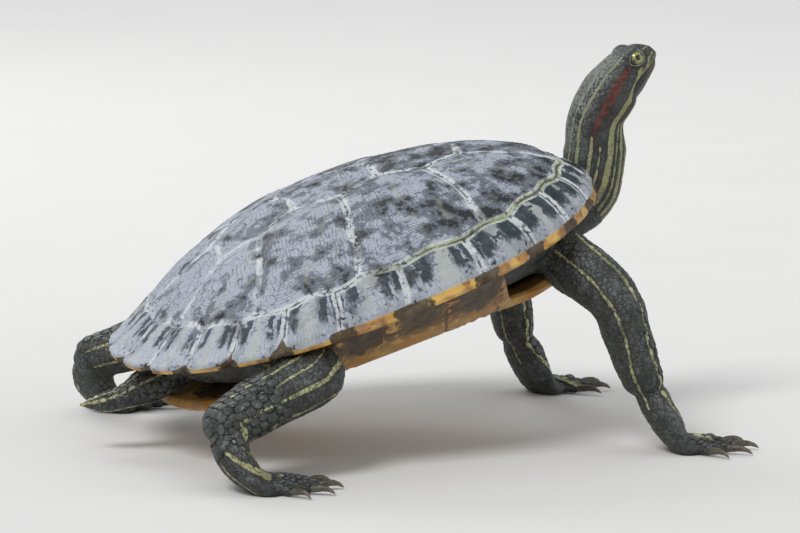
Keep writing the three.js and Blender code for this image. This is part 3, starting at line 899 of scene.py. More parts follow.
girth = (eased(SWEEP_WIDE, back) + eased(SWEEP_TOP, back)) / 2 * np.minimum(1, back / 5 + 0.25)
stripe = np.min([stripe_gap(back, turn, girth, line) for line in PALE_STRIPES], axis=0)
red = stripe_gap(back, turn, girth, RED_PATCH)
on_top = 1 - smooth(np.abs(turn), 0.5, 1.1)
paint(
    head,
    stripe=np.minimum(stripe, FAR_OFF),
    red=np.minimum(red, FAR_OFF),
    lid=np.clip(from_lid, -3, FAR_OFF),
    mouth=np.minimum(np.abs(over_mouth) + FAR_OFF * (1 - at_mouth), FAR_OFF),
    scaly=smooth(back, 20, 48) * 0.55 + 0.04,
    beak=(1 - smooth(np.abs(over_mouth), 1.2, 2.6)) * (1 - smooth(from_snout, 7, 15)),
    # The top of the head, where a painted highlight makes it paler.
    crown=on_top * smooth(back, 2, 10) * (1 - smooth(back, 34, 60)),
    # The depth of each dent, which the skin reads to darken the folds as painted shade.
    crease=np.clip(-relief / 0.6, 0, 1),
)
print("vertices in a stripe:", int((stripe < 0).sum()))

# %% [markdown]
# ## Legs, feet, tail and trunk
#
# The rest of the flesh is rounder and simpler. Each limb, toe and web is a closed shape of its
# own at first, because that is the easy way to give each its girth. A voxel remesh then melts
# them into one surface, as clay is smoothed over an armature, and a little smoothing takes the
# steps out of it.

# %% The legs' measures
FORELEG = {
    "root": (50, -24, 82), "bend": (70, -59, 60), "ankle": (83, -63, 22), "pad": (96, -67, 2.8),
    "girths": [(11.5, 11), (13, 11), (12.5, 10), (12.5, 8.8), (11, 7.6)],
    "palm": [(10, 6.8), (11, 6.6), (11.5, 4.6), (9.5, 3)],
    "top": (1, 0, 0.25), "heading": -14, "fan": (-52, -26, 0, 25, 50), "stride": -7,
    "toes": (12, 15.5, 17, 16, 12.5), "toe_radius": 2.6, "claw": 9, "clawed": 5,
}
HINDLEG = {
    "root": (-62, -22, 43), "bend": (-54, -65, 38), "ankle": (-98, -80, 21), "pad": (-80, -87, 3),
    "girths": [(15, 12.5), (15.5, 12.5), (13.5, 11.5), (12.5, 10.3), (10.5, 8.6)],
    "palm": [(8.5, 7), (11, 7), (13, 4.8), (11.5, 3.2)],
    "top": (0, 0, 1), "heading": -12, "fan": (-48, -24, 0, 22, 44), "stride": -8,
    "toes": (13, 17, 19, 17.5, 13), "toe_radius": 2.7, "claw": 8, "clawed": 4,
}
JOINTS = ("root", "bend", "ankle", "pad")


def on_side(leg, side):
    """The right leg as given, or the left one: mirrored, with a stride of its own."""
    stride = leg["stride"] if side > 0 else 0
    fan = [-side * turn for turn in leg["fan"]]
    moved = dict(leg, heading=-side * leg["heading"], fan=fan)
    for joint, share in zip(JOINTS, (0, 0.4, 1, 1)):
        x, y, z = leg[joint]
        moved[joint] = np.array([x + stride * share, -side * y, z])
    return moved


def leg_path(leg):
    """The knots of a leg's middle line, from its root to its ankle."""
    root, bend, ankle, _ = (leg[joint] for joint in JOINTS)
    return [root, (root + bend) / 2, bend, (bend + ankle) / 2, ankle]


def toe_line(leg, number):
    """Direction, root, middle and tip of a toe."""
    angle = math.radians(leg["heading"] + leg["fan"][number])
    ahead = np.array([math.cos(angle), math.sin(angle), 0])
    root = leg["pad"] + ahead
    tip = leg["pad"] + ahead * (leg["toes"][number] + 4)
    root[2], tip[2] = leg["toe_radius"] + 1, leg["toe_radius"] * 0.6
    middle = (root + tip) / 2
    middle[2] = leg["toe_radius"] + 0.7
    return ahead, root, middle, tip


LEGS = {
    "fore_right": on_side(FORELEG, -1), "fore_left": on_side(FORELEG, 1),
    "hind_right": on_side(HINDLEG, -1), "hind_left": on_side(HINDLEG, 1),
}
COAT_DEPTH = 0.25
print("legs:", ", ".join(LEGS))

# %% Model the legs and feet
KNUCKLES = [
    (1.0, 1.0), (0.98, 1.0), (0.84, 0.88), (0.98, 1.0), (0.8, 0.82), (0.92, 0.9), (0.74, 0.72),
]


def make_web(leg):
    """The skin between the toes, a thin sheet drawn in between their tips."""
    bearings, reaches = [-200.0, -75.0], [4.0, 5.0]
    spread = sorted(zip(leg["fan"], leg["toes"]))
    for number, (turn, length) in enumerate(spread):
        bearings.append(turn)
        reaches.append(0.74 * (length + 4))
        if number < len(spread) - 1:
            bearings.append((turn + spread[number + 1][0]) / 2)
            reaches.append(0.54 * (length + spread[number + 1][1] + 8) / 2 * 1.06)
    bearings += [75.0, 200.0]
    reaches += [5.0, 4.0]

    def place(around, along):
        bearing = np.degrees(half_turns(-around))
        spread_share = np.sin(along * np.pi)
        reach = np.interp(bearing, bearings, reaches) * spread_share
        angle = np.radians(bearing + leg["heading"])
        half = 0.85 * np.sqrt(np.clip(1 - spread_share**8, 0, 1))
        x, y = leg["pad"][0] + reach * np.cos(angle), leg["pad"][1] + reach * np.sin(angle)
        return np.column_stack([x, y, 1.5 + np.where(along > 0.5, half, -half)])
    return laid_out("web", 96, 16, place)[0]


def make_leg(leg):
    bend, ankle, pad = (leg[joint] for joint in JOINTS[1:])
    parts = [limb("leg", leg_path(leg), leg["girths"], leg["top"], end=0.08, grow=-COAT_DEPTH)]
    forwards = toe_line(leg, 2)[0]
    front = pad + forwards * 8
    front[2] = 2.2
    path = [lerp(ankle, bend, 0.14), (ankle + pad) / 2, pad, front]
    parts.append(limb("palm", path, leg["palm"], forwards + (0, 0, 1), end=0.2, grow=-COAT_DEPTH))
    thick = leg["toe_radius"]
    girths = [(wide * thick, high * thick) for wide, high in KNUCKLES]
    for number in range(len(leg["toes"])):
        _, *path = toe_line(leg, number)
        parts.append(limb("toe", path, girths, segments=18, rings=26, end=0.2, grow=-0.1))
    return parts + [make_web(leg)]


flesh = [part for leg in LEGS.values() for part in make_leg(leg)]
print("legs:", len(flesh), "closed parts")

# %% Model the trunk, the tail and the root of the neck
TAIL_PATH = [(-70, 0, 42), (-96, 0, 27), (-112, 3, 20), (-124.5, 9, 18)]
TAIL_GIRTHS = [(11, 9), (9, 7.5), (5, 4.4), (1.8, 1.6)]


def trunk_place(around, along):
    share = np.sin(along * np.pi)
    x = 84 * signed_power(np.cos(around), 0.8) * share
    y = -63 * signed_power(np.sin(around), 0.8) * share
    thickness = np.sqrt(np.maximum(0, 1 - share**6))
    flank = 1 - 0.5 * (np.abs(y) / 63) ** 3
    height = np.where(along > 0.5, 40.0, -18.5 * flank)
    angle, share = plan_place(x, y)
    inner_share = np.minimum(share / LIP_SHARE, 1)
    ceiling = dome_point(angle, inner_share, DOME_HEIGHT - SHELL_WALL, -LIP_DEPTH)[:, 2]
    return pitched(np.column_stack([x, y, np.minimum(-5 + height * thickness, ceiling - 1.5)]))


def neck_root_place(around, along):
    back = lerp(NECK_CUT - 12, SWEEP_END, along)
    middle, _ = spine_frame(back)
    return middle + (sweep_point(back, around) - middle) * round_end(along, 0.06)[:, None]


flesh.append(laid_out("trunk", 96, 48, trunk_place)[0])
flesh.append(laid_out("neck_root", 64, 40, neck_root_place)[0])
flesh.append(limb("tail", TAIL_PATH, TAIL_GIRTHS, grow=-COAT_DEPTH))

# %% Melt the flesh into one body
VOXEL = 0.93


def add_modifier(piece, kind, **settings):
    """Adds a modifier, sets it up and applies it."""
    pick(piece)
    modifier = piece.modifiers.new(kind.lower(), kind)
    for name, value in settings.items():
        setattr(modifier, name, value)
    bpy.ops.object.modifier_apply(modifier=modifier.name)


pick(*flesh)
bpy.ops.object.join()
body = bpy.context.object
body.name = "body"
add_modifier(body, "REMESH", mode="VOXEL", voxel_size=VOXEL * MM)
add_modifier(body, "SMOOTH", factor=0.5, iterations=5)
print("body:", len(body.data.polygons), "faces")

# %% [markdown]
# ## Finding the way along each limb
#
# Stripes and wrinkles on a leg run along it or across it, so the melted body has to know its
# limbs again. Every vertex looks for the nearest spot on the middle lines of the legs, toes and
# tail, and keeps how far along it lies and at what angle round the line.

# %% Places along and round the limbs
def limb_line(leg):
    """The middle line from the root of a leg to the tip of its middle toe."""
    _, _, middle, tip = toe_line(leg, 2)
    heel = (leg["ankle"] + leg["pad"]) / 2 + (0, 0, 2)
    return leg_path(leg) + [heel, middle, tip]


LINES = {name: (limb_line(leg), leg["top"]) for name, leg in LEGS.items()}
LINES["tail"] = (TAIL_PATH, (0, 0, 1))
LINE_STEPS = 120


def carried_on(path, shares, top):
    """Middle, side, up and ahead, carried along the path so that they never twist round it."""
    middle, _, up, ahead = frame_on(path, shares, top)
    for step in range(1, len(shares)):
        kept = up[step - 1] - (up[step - 1] @ ahead[step]) * ahead[step]
        up[step] = kept / np.linalg.norm(kept)
    return middle, np.cross(up, ahead), up, ahead


def limb_places(points):
    """For each point: its limb's number, millimetres along it, angle round it, and distance."""
    shares = np.linspace(0, 1, LINE_STEPS)
    frames, reaches = [], []
    for path, top in LINES.values():
        frames.append(carried_on(path, shares, top))
        reaches.append(run_of(frames[-1][0]))
    found = nearest_of(np.vstack([middles for middles, *_ in frames]), points)
    middles, sides, ups = (np.vstack([made[k] for made in frames])[found] for k in range(3))
    offset = points - middles
    turn = np.arctan2(np.sum(offset * sides, axis=1), np.sum(offset * ups, axis=1))
    return found // LINE_STEPS, np.concatenate(reaches)[found], turn, np.linalg.norm(offset, axis=1)


def levelled(points):
    """From the standing animal back to the level shell."""
    x, y, z = (np.asarray(points) - SHELL_MIDDLE).T
    c, s = math.cos(SHELL_PITCH), math.sin(SHELL_PITCH)
    return np.stack([c * x + s * z, y, -s * x + c * z], axis=1)


# %% Thin out what the shell hides or shades
HIDDEN_KEPT, SHADED_KEPT = 0.03, 0.2


def thin(piece, chosen, kept, name):
    """Keeps only a share of the faces round the chosen vertices."""
    group = piece.vertex_groups.new(name=name)
    group.add(np.flatnonzero(chosen).tolist(), 1.0, "REPLACE")
    add_modifier(piece, "DECIMATE", ratio=1 - (1 - kept) * chosen.mean(), vertex_group=name)
    piece.vertex_groups.clear()
    print(name, "thinned to", len(piece.data.polygons), "faces")


level = levelled(points_of(body))
_, share = plan_place(level[:, 0], level[:, 1])
hidden = (share < 0.74) | (np.abs(level[:, 0] - 2) < 32) & (share < 0.95)
thin(body, hidden & (level[:, 2] > -24), HIDDEN_KEPT, "hidden")
flesh_points = points_of(body)
level = levelled(flesh_points)
_, _, _, from_line = limb_places(flesh_points)
spine_spots = spine_points[::60, ::2]
from_spine = np.min([away_from(spot, flesh_points[:, ::2]) for spot in spine_spots], axis=0)
off_neck = (from_spine > 20) | (np.abs(flesh_points[:, 1]) > 22)
shaded = (from_line > 17) & off_neck & (plan_place(*level.T[:2])[1] < 0.95)
thin(body, shaded, SHADED_KEPT, "shaded")

# %% [markdown]
# ## Folds of the legs
#
# Loose skin gathers in creases where a limb bends, and it is uneven everywhere. The creases are
# narrow dents at even steps along the limb, made crooked by noise, deepest at knee and elbow.

# %% Crease the legs and set the soles flat
flesh_points = points_of(body)
limb_number, reach, turn, from_line = limb_places(flesh_points)
names = list(LINES)
shares = np.linspace(0, 1, LINE_STEPS)
line_runs = [run_of(along_path(path, shares)) for path, _ in LINES.values()]
joint_reach, foot_reach = (
    np.array([np.interp(share, shares, run) for run in line_runs]) for share in (2 / 7, 4 / 7)
)
from_joint = reach - joint_reach[limb_number]
from_ankle = reach - foot_reach[limb_number]
is_tail = limb_number == names.index("tail")
on_limb = 1 - smooth(from_line, 13, 19)
warped = reach + 2.0 * noise(flesh_points, 9, 31) + 0.8 * noise(flesh_points, 3, 32)
FOLD_SPACING = 3.4
crosswise = furrows(warped / FOLD_SPACING, FOLD_SPACING, 0.6)
at_joint = bump(from_joint, 13) + bump(from_ankle, 9, 0.8)
toes = smooth(from_ankle, 12, 22) * ~is_tail
broken = np.clip(0.5 + 0.9 * noise(flesh_points, 7, 33), 0, 1)
relief = 0.5 * crosswise * broken * on_limb * (0.45 + 0.8 * at_joint) * (1 - 0.7 * toes)
relief += 0.45 * noise(flesh_points, 8, 34) * (1 - 0.75 * toes) + 0.15 * noise(flesh_points, 3.5, 35)
off_floor = 1 - smooth(-flesh_points[:, 2], -2.5, -1.0)
creased = flesh_points + normals_of(body) * (relief * off_floor)[:, None]
SOLE = 0.9
creased[:, 2] = np.where(creased[:, 2] < SOLE, creased[:, 2] * 0.35 - 0.05, creased[:, 2])
creased[:, 2] = np.maximum(creased[:, 2], 0.0)
lay_points(body, creased)
print("lowest points at 0:", int((creased[:, 2] < 0.05).sum()))

# %% Paint the stripes of the legs and the tail
# Each is (angle round the limb in degrees, half-width, first and last millimetre).
LEG_STRIPES = {
    "fore": [
        (-75, 0.8, 20, 118), (-38, 0.5, 30, 118), (-8, 0.9, 26, 105), (28, 0.5, 32, 118),
        (64, 0.8, 22, 118), (120, 0.5, 20, 90), (-130, 0.5, 20, 90),
    ],
    "hind": [
        (-125, 0.5, 24, 100), (-85, 0.7, 26, 118), (-48, 0.5, 30, 122), (-12, 0.8, 30, 122),
        (26, 0.45, 36, 126), (62, 0.8, 30, 126), (100, 0.5, 34, 126), (140, 0.7, 28, 120),
    ],
    "tail": [
        (side * angle, half, 0, 60)
        for angle, half in ((60, 0.6), (20, 0.5), (150, 0.7)) for side in (-1, 1)
    ],
}


def limb_stripe_gap(points, number, reach, turn, from_line):
    """Distance from the edge of the nearest pale stripe on the limbs."""
    gap = np.full(len(points), FAR_OFF)
    sway = 0.16 * noise(points, 13, 41)
    for index, name in enumerate(names):
        chosen = number == index
        mirror = -1 if name.endswith("left") else 1
        for degrees, half, first, last in LEG_STRIPES[name.split("_")[0]]:
            away = np.abs(half_turns(turn[chosen] * mirror + sway[chosen] - math.radians(degrees)))
            away = away * np.minimum(from_line[chosen], 12)
            beyond = np.maximum(np.maximum(first - reach[chosen], reach[chosen] - last), 0)
            gap[chosen] = np.minimum(gap[chosen], np.hypot(away, beyond) - half)
    # Round the outside of the heel all angles meet in one spot, so the stripes stop short of it.
    on_hind_leg = np.array([name.startswith("hind") for name in names])[number]
    at_heel = on_hind_leg * bump(reach - foot_reach[number], 4.5, 4)
    return gap + at_heel + FAR_OFF * smooth(from_line, 14, 18)


stripe = limb_stripe_gap(creased, limb_number, reach, turn, from_line)
paint(
    body,
    stripe=np.minimum(stripe, FAR_OFF),
    scaly=0.75 + 0.25 * on_limb - 0.35 * toes,
    # The depth of each dent, which the skin reads to darken the folds as painted shade.
    crease=np.clip(-relief / 0.8, 0, 1),
)
# The marks of the head are kept on the body too, with values that show nothing.
paint(body, red=FAR_OFF, lid=FAR_OFF, mouth=FAR_OFF, beak=0, crown=0)
print("limb stripes:", sum(len(lines) for lines in LEG_STRIPES.values()))

# %% [markdown]
# ## One skin
#
# The head and neck are now sewn to the body. Both are cut square across the neck, the two open
# edges are bridged with faces, and a light smoothing there takes the step away. So one closed
# skin runs from the snout to the tail and down to the toes.

# %% Sew the head to the body
SEAM_BAND = 2.5
cut_middle, _ = spine_frame(np.array([float(NECK_CUT)]))
cut_behind, _ = spine_frame(np.array([NECK_CUT + 1.0]))
cut_forward = unit(cut_middle - cut_behind)[0]
cut_middle = cut_middle[0]

pick(body)
edit()
bpy.ops.mesh.bisect(plane_co=cut_middle * MM, plane_no=cut_forward, clear_outer=True)
leave_edit()

pick(head, body)
bpy.ops.object.join()
skin = bpy.context.object
edit("DESELECT")
bpy.ops.mesh.select_non_manifold(extend=False)
bpy.ops.mesh.bridge_edge_loops()
bpy.ops.mesh.select_all(action="SELECT")
bpy.ops.mesh.normals_make_consistent(inside=False)
leave_edit()
skin_points = points_of(skin)
near_seam = np.abs((skin_points - cut_middle) @ cut_forward) < SEAM_BAND
in_neck = (np.abs(skin_points[:, 1]) < 22) & (skin_points[:, 2] > 60)
skin.data.vertices.foreach_set("select", near_seam & in_neck)
bpy.ops.object.mode_set(mode="EDIT")
bpy.ops.mesh.vertices_smooth(factor=0.5, repeat=6)
leave_edit()
print("skin:", len(skin.data.vertices), "vertices,", len(skin.data.polygons), "faces")

# %% [markdown]
# ## Small scales
#
# The skin of legs and neck is a mosaic of small scales. Geometry nodes can push the surface with
# the very same cell pattern that the material will draw, since both read the place in metres, so
# the relief and the creases that the material darkens as painted shade fall together. The modifier
# is applied once it has done so.
# Nodes are long to write out one by one, so what a node gives out is wrapped as a Value first:
# adding or multiplying two values then adds the Math node that does it.

# %% Write nodes as sums and products
def new_node(tree, kind, inputs=None, **settings):
    """Adds a node to a tree; an input may be a plain setting or what another node gives out."""
    node = tree.nodes.new(kind)
    for name, setting in settings.items():
        setattr(node, name, setting)
    for name, given in (inputs or {}).items():
        if isinstance(given, Value):
            tree.links.new(given.socket, node.inputs[name])
        else:
            node.inputs[name].default_value = given
    return node


def math_of(tree, operation, *terms):
    return Value(new_node(tree, "ShaderNodeMath", dict(enumerate(terms)), operation=operation))


class Value:
    """What a node gives out, to be added, multiplied and masked like a number."""

    def __init__(self, node, output=0):
        self.tree = node.id_data
        self.socket = node.outputs[output]

    def math(self, operation, *others):
        return math_of(self.tree, operation, self, *others)

    def __add__(self, other):
        return self.math("ADD", other)

    def __mul__(self, other):
        return self.math("MULTIPLY", other)

    def __sub__(self, other):
        return self.math("SUBTRACT", other)

    def __rsub__(self, other):
        return math_of(self.tree, "SUBTRACT", other, self)

    __radd__ = __add__
    __rmul__ = __mul__

    def mask(self, low, high):
        """0 at low and 1 at high, with an easy curve between; low may be the greater."""
        inputs = {"Value": self, "From Min": low, "From Max": high}
        smooth_step = {"interpolation_type": "SMOOTHSTEP"}
        return Value(new_node(self.tree, "ShaderNodeMapRange", inputs, **smooth_step))


print("node helpers ready")

# %% Raise the small scales
SCALE_SIZE, FINE_SCALE_SIZE = 2.3, 1.2
SCALE_RELIEF = 0.26


def texture(place, kind, size, output, more=None, **settings):
    """What a texture of a size in millimetres gives at a place."""
    inputs = {"Vector": place, "Scale": 1 / (size * MM), **(more or {})}
    return Value(new_node(place.tree, f"ShaderNodeTex{kind}", inputs, **settings), output)


def axis_of(vector, axis="X"):
    return Value(new_node(vector.tree, "ShaderNodeSeparateXYZ", {0: vector}), axis)


def cell_edge(place, size):
    """How far a place is from the edge of its cell, in a mosaic of cells."""
    return texture(place, "Voronoi", size, "Distance", feature="DISTANCE_TO_EDGE")


def cell_grey(place, size):
    """A grey of its own for each cell of the same mosaic."""
    return axis_of(texture(place, "Voronoi", size, "Color"))


def scale_cells(place, scaly):
    """Distance from a small scale's edge, and its grey; the scales are finer where less scaly."""
    finer = scaly.mask(0.72, 0.6)
    return [
        found(place, SCALE_SIZE) * (1 - finer) + found(place, FINE_SCALE_SIZE) * finer
        for found in (cell_edge, cell_grey)
    ]


relief_tree = bpy.data.node_groups.new("small scales", "GeometryNodeTree")
for way in ("INPUT", "OUTPUT"):
    relief_tree.interface.new_socket("Geometry", in_out=way, socket_type="NodeSocketGeometry")
came_in, goes_out = (relief_tree.nodes.new(kind) for kind in ("NodeGroupInput", "NodeGroupOutput"))
place = Value(relief_tree.nodes.new("GeometryNodeInputPosition"))
normal = Value(relief_tree.nodes.new("GeometryNodeInputNormal"))
scaly = Value(new_node(relief_tree, "GeometryNodeInputNamedAttribute", {"Name": "scaly"}))
edge, _ = scale_cells(place, scaly)
height = (edge.mask(0.0, 0.22) - 0.7) * scaly * (SCALE_RELIEF * MM)
push = new_node(relief_tree, "ShaderNodeVectorMath", {0: normal, "Scale": height}, operation="SCALE")
inputs = {"Geometry": Value(came_in), "Offset": Value(push)}
moved = new_node(relief_tree, "GeometryNodeSetPosition", inputs)
relief_tree.links.new(moved.outputs[0], goes_out.inputs[0])
add_modifier(skin, "NODES", node_group=relief_tree)
lowered = points_of(skin)
lowered[:, 2] = np.maximum(lowered[:, 2], 0)
lay_points(skin, lowered)
print("small scales of", SCALE_SIZE, "mm raised by", SCALE_RELIEF, "mm")

# %% [markdown]
# ## Horny scales
#
# On the front of the forearm, round the heel, on the tail and on top of each toe, horny scales
# stand on the skin and overlap like shingles. There are hundreds, so each has only a few dozen
# faces: a bottom sunk in the skin, a rim that is raised towards the foot, and a low crown. Every
# ring of it is laid on the skin with a search tree, so a scale bends as the limb does.

# %% Choose the places of the scales
def faces_of(piece):
    return [tuple(face.vertices) for face in piece.data.polygons]


def search_tree(piece):
    """Finds the nearest spot of a piece, or where a ray meets it; it works in metres."""
    return BVHTree.FromPolygons((points_of(piece) * MM).tolist(), faces_of(piece))


skin_tree = search_tree(skin)
random = np.random.default_rng(7)
scale_roots = []


def add_scale(middle, outwards, ahead, half_length, half_width):
    """A scale where a ray from inside the limb comes out through the skin."""
    spot, normal, _, reach = skin_tree.ray_cast(Vector(middle * MM), Vector(outwards))
    if spot is not None and reach < 25 * MM and spot.z > 1.2 * MM:
        scale_roots.append((np.array(spot) / MM, np.array(normal), ahead, half_length, half_width))


def cover_limb(name, first, last, turns, spacing, growth):
    """Rows of scales along a limb, between two reaches and two angles; rows are staggered."""
    path, top = LINES[name]
    middles, sides, ups, aheads = carried_on(path, np.linspace(0, 1, LINE_STEPS), top)
    reaches = run_of(middles)
    mirror = -1 if name.endswith("left") else 1
    for row, reach in enumerate(np.arange(first, last, spacing * 0.8)):
        size = lerp(1, growth, (reach - first) / (last - first)) * spacing
        at = int(np.interp(reach, reaches, np.arange(LINE_STEPS)))
        step = size * 0.98 / (11 if name != "tail" else np.interp(reach, (10, 60), (8, 2)))
        for turn in np.arange(turns[0] + (row % 2) * step / 2, turns[1], step):
            turned = (turn + random.uniform(-0.1, 0.1) * step) * mirror
            outwards = math.sin(turned) * sides[at] + math.cos(turned) * ups[at]
            shade = random.uniform(0.9, 1.08)
            add_scale(middles[at], outwards, aheads[at], size * 0.58 * shade, size * 0.5 * shade)


for side_name in ("right", "left"):
    cover_limb(f"fore_{side_name}", 52, 96, (-1.25, 1.25), 4.6, 0.72)
    cover_limb(f"hind_{side_name}", 66, 104, (-0.9, 1.9), 4.4, 0.75)
cover_limb("tail", 16, 62, (-2.6, 2.6), 3.6, 0.55)
for leg in LEGS.values():
    for number in range(len(leg["toes"])):
        ahead, *path = toe_line(leg, number)
        for share in np.arange(0.3, 0.99, 0.14):
            spot = along_path(path, np.array([share]))[0]
            size = leg["toe_radius"] * lerp(0.8, 0.62, share)
            add_scale(spot, np.array([0, 0, 1]), ahead, size * 0.72, size)
print("scales:", len(scale_roots))

# %% Model the scales
RIM_POINTS = 9
# Reach, height and tilt of each ring, from the sunken bottom to the crown.
RINGS = [(0.96, -0.35, 0.0), (1.0, 0.16, 0.2), (0.68, 0.4, 0.16), (0.3, 0.5, 0.08)]
rim_turn = np.arange(RIM_POINTS) * 2 * np.pi / RIM_POINTS
along_rim, across_rim = (signed_power(wave(rim_turn), 0.85) for wave in (np.cos, np.sin))

per_scale = len(RINGS) * RIM_POINTS
scale_points, scale_faces, scale_spots, scale_edges = [], [], [], []
for root, normal, ahead, half_length, half_width in scale_roots:
    along = unit(ahead - (ahead @ normal) * normal)
    across = np.cross(normal, along)
    first = len(scale_points)
    for reach, height, tilt in RINGS:
        for u, v in zip(along_rim * reach, across_rim * reach):
            flat = root + along * u * half_length + across * v * half_width
            spot, out, _, _ = skin_tree.find_nearest(Vector(flat * MM))
            lift = (height + tilt * max(u, -0.3)) * min(1, half_width / 2)
            scale_points.append(np.array(spot) / MM + np.array(out) * lift)
            scale_spots.append((u, v))
            scale_edges.append(reach)
    for ring, turn in itertools.product(range(len(RINGS) - 1), range(RIM_POINTS)):
        beside = (turn + 1) % RIM_POINTS
        low, high = first + ring * RIM_POINTS, first + (ring + 1) * RIM_POINTS
        scale_faces.append((low + turn, low + beside, high + beside, high + turn))
    scale_faces.append(tuple(range(first, first + RIM_POINTS))[::-1])
    scale_faces.append(tuple(range(len(scale_points) - RIM_POINTS, len(scale_points))))
print("horny scales:", len(scale_faces), "faces")

# %% Join the scales in one piece and mark them
scale_mesh = bpy.data.meshes.new("horny_scales")
scale_mesh.from_pydata((np.array(scale_points) * MM).tolist(), [], scale_faces)
scales = bpy.data.objects.new("horny_scales", scale_mesh)
bpy.context.scene.collection.objects.link(scales)
scale_points = np.array(scale_points)
scale_points[:, 2] = np.maximum(scale_points[:, 2], 0)
lay_points(scales, scale_points)
number, reach, turn, from_line = limb_places(scale_points)
gap = limb_stripe_gap(scale_points, number, reach, turn, from_line).reshape(-1, per_scale)
gap = lerp(gap, gap.mean(axis=1, keepdims=True), 0.5).ravel()
paint(
    scales,
    stripe=np.minimum(gap, FAR_OFF),
    rim=np.clip((np.array(scale_edges) - 0.55) / 0.45, 0, 1),
    tone=np.repeat(random.uniform(0, 1, len(scale_roots)), per_scale),
)
print("vertices of each scale:", per_scale)

# %% Unwrap the scales by their roots
# Each scale's patch lies at its root's place on an unwrap of the skin, so that a baked colour
# finds the same spot.
PATCH = 0.003
pick(skin)
bpy.ops.object.duplicate(linked=False)
unwrapped = bpy.context.object
add_modifier(unwrapped, "DECIMATE", ratio=0.06)
add_modifier(unwrapped, "TRIANGULATE")
edit()
bpy.ops.uv.smart_project(angle_limit=math.radians(66), island_margin=0.004)
leave_edit()
corner_places = rows(unwrapped.data.uv_layers.active.data, "uv", 2).reshape(-1, 3, 2)
copy_points, triangles, copy_tree = points_of(unwrapped), faces_of(unwrapped), search_tree(unwrapped)
root_places = []
for root, *_ in scale_roots:
    spot, _, index, _ = copy_tree.find_nearest(Vector(root * MM))
    corners = copy_points[list(triangles[index])]
    edges = np.column_stack([corners[1] - corners[0], corners[2] - corners[0]])
    b, c = np.linalg.lstsq(edges, np.array(spot) / MM - corners[0], rcond=None)[0]
    root_places.append(np.clip([1 - b - c, b, c], 0, 1) @ corner_places[index])
bpy.data.objects.remove(unwrapped)

patches = np.repeat(root_places, per_scale, axis=0) + np.array(scale_spots) * PATCH / 2
corner_vertices = rows(scale_mesh.loops, "vertex_index", 1)[:, 0].astype(int)
bake_map = scale_mesh.uv_layers.new(name="OFBake")
bake_map.data.foreach_set("uv", patches[corner_vertices].ravel())
print("unwrapped", len(root_places), "patches")

# %% [markdown]
# ## Claws
#
# Each toe that carries one ends in a long, slightly curved claw of dark horn: five on a forefoot,
# four on a hindfoot. One claw is modelled lying along X, and each copy gets a mesh of its own,
# turned and moved to the tip of its toe.

# %% Model a claw and set the copies
CLAW_PATH = [(-2.6, 0, 0.2), (1.0, 0, 0.75), (4.0, 0, 0.85), (6.7, 0, 0.25), (8.9, 0, -1.15)]
CLAW_GIRTHS = [(1.3, 1.35), (1.22, 1.4), (0.95, 1.15), (0.58, 0.78), (0.14, 0.2)]
CLAW_LONG, CLAW_SHOWING, CLAW_HEIGHT = 11.3, 9.0, 1.85
claw_form = limb("claw_form", CLAW_PATH, CLAW_GIRTHS, segments=20, rings=26, end=0.12)
claw_shape = points_of(claw_form)
paint(claw_form, from_base=(claw_shape[:, 0] - CLAW_PATH[0][0]) / CLAW_LONG)
claws = {}
for leg_name, leg in LEGS.items():
    limb_name, side_name = leg_name.split("_")
    for number in range(leg["clawed"]):
        ahead, _, _, tip = toe_line(leg, number)
        pick(claw_form)
        bpy.ops.object.duplicate(linked=False)
        claw = bpy.context.object
        claw.name = f"claw_{limb_name}_{side_name}_{number + 1}"
        along = ahead * (leg["claw"] / CLAW_SHOWING)
        aside, up = np.array([-ahead[1], ahead[0], 0]), np.array([0, 0, 1])
        x, y, z = claw_shape.T[:, :, None]
        lay_points(claw, [tip[0], tip[1], CLAW_HEIGHT] + x * along + y * aside + z * up)
        claws[f"{limb_name}_claw_{side_name}_{number + 1}"] = claw
bpy.data.objects.remove(claw_form)
print("claws:", len(claws))

# %% [markdown]
# ## Eyes
#
# The eyeball sits in the lids, with only its front showing. Its pole looks along the gaze, so its
# rings are rings of the iris, and the middle swells a little as the clear cornea does. Each
# vertex keeps its place across and up from the pupil for the material to read.

# %% Model the eyeballs
eyes = {}
for side, side_name in ((1, "left"), (-1, "right")):
    centre, out, forth, upward = eye_frame(side)

    def eye_place(around, along):
        tilt = along * np.pi
        swell = EYE_RADIUS + bump(tilt, 0.5, 0.3)
        across = np.outer(np.cos(around), forth) + np.outer(np.sin(around), upward)
        ray = np.outer(np.cos(tilt), out) + across * np.sin(tilt)[:, None]
        return centre + ray * swell[:, None]
    eye, around, along = laid_out(f"eyeball_{side_name}", 64, 48, eye_place)
    flat = np.sin(along * np.pi) * EYE_RADIUS + 20 * (along > 0.5)
    paint(eye, across=flat * np.cos(around), upward=flat * np.sin(around))
    eyes[f"eye_{side_name}"] = eye
print("eyes of", 2 * EYE_RADIUS, "mm")

# %% [markdown]
# ## Building materials from nodes
#
# A colour is written as it looks on a screen and turned into the light values that a shader
# wants. The helpers below add clouds of noise by their size in millimetres, lay coats of colour
# over each other by masks and read what was painted on the vertices.

# %% Node helpers for materials
def colour(*screen):
    """A screen colour from 0 to 255, as linear light."""
    shares = np.array(screen) / 255
    return [*np.where(shares < 0.04045, shares / 12.92, ((shares + 0.055) / 1.055) ** 2.4), 1.0]


def painted(tree, name):
    return Value(new_node(tree, "ShaderNodeAttribute", attribute_name=name), "Fac")


def mottle(place, size, detail, stretch=None):
    """Cloudy noise of a size in millimetres, about 0.3 to 0.7."""
    if stretch:
        place = Value(new_node(place.tree, "ShaderNodeMapping", {"Vector": place, "Scale": stretch}))
    return texture(place, "Noise", size, "Fac", {"Detail": detail})


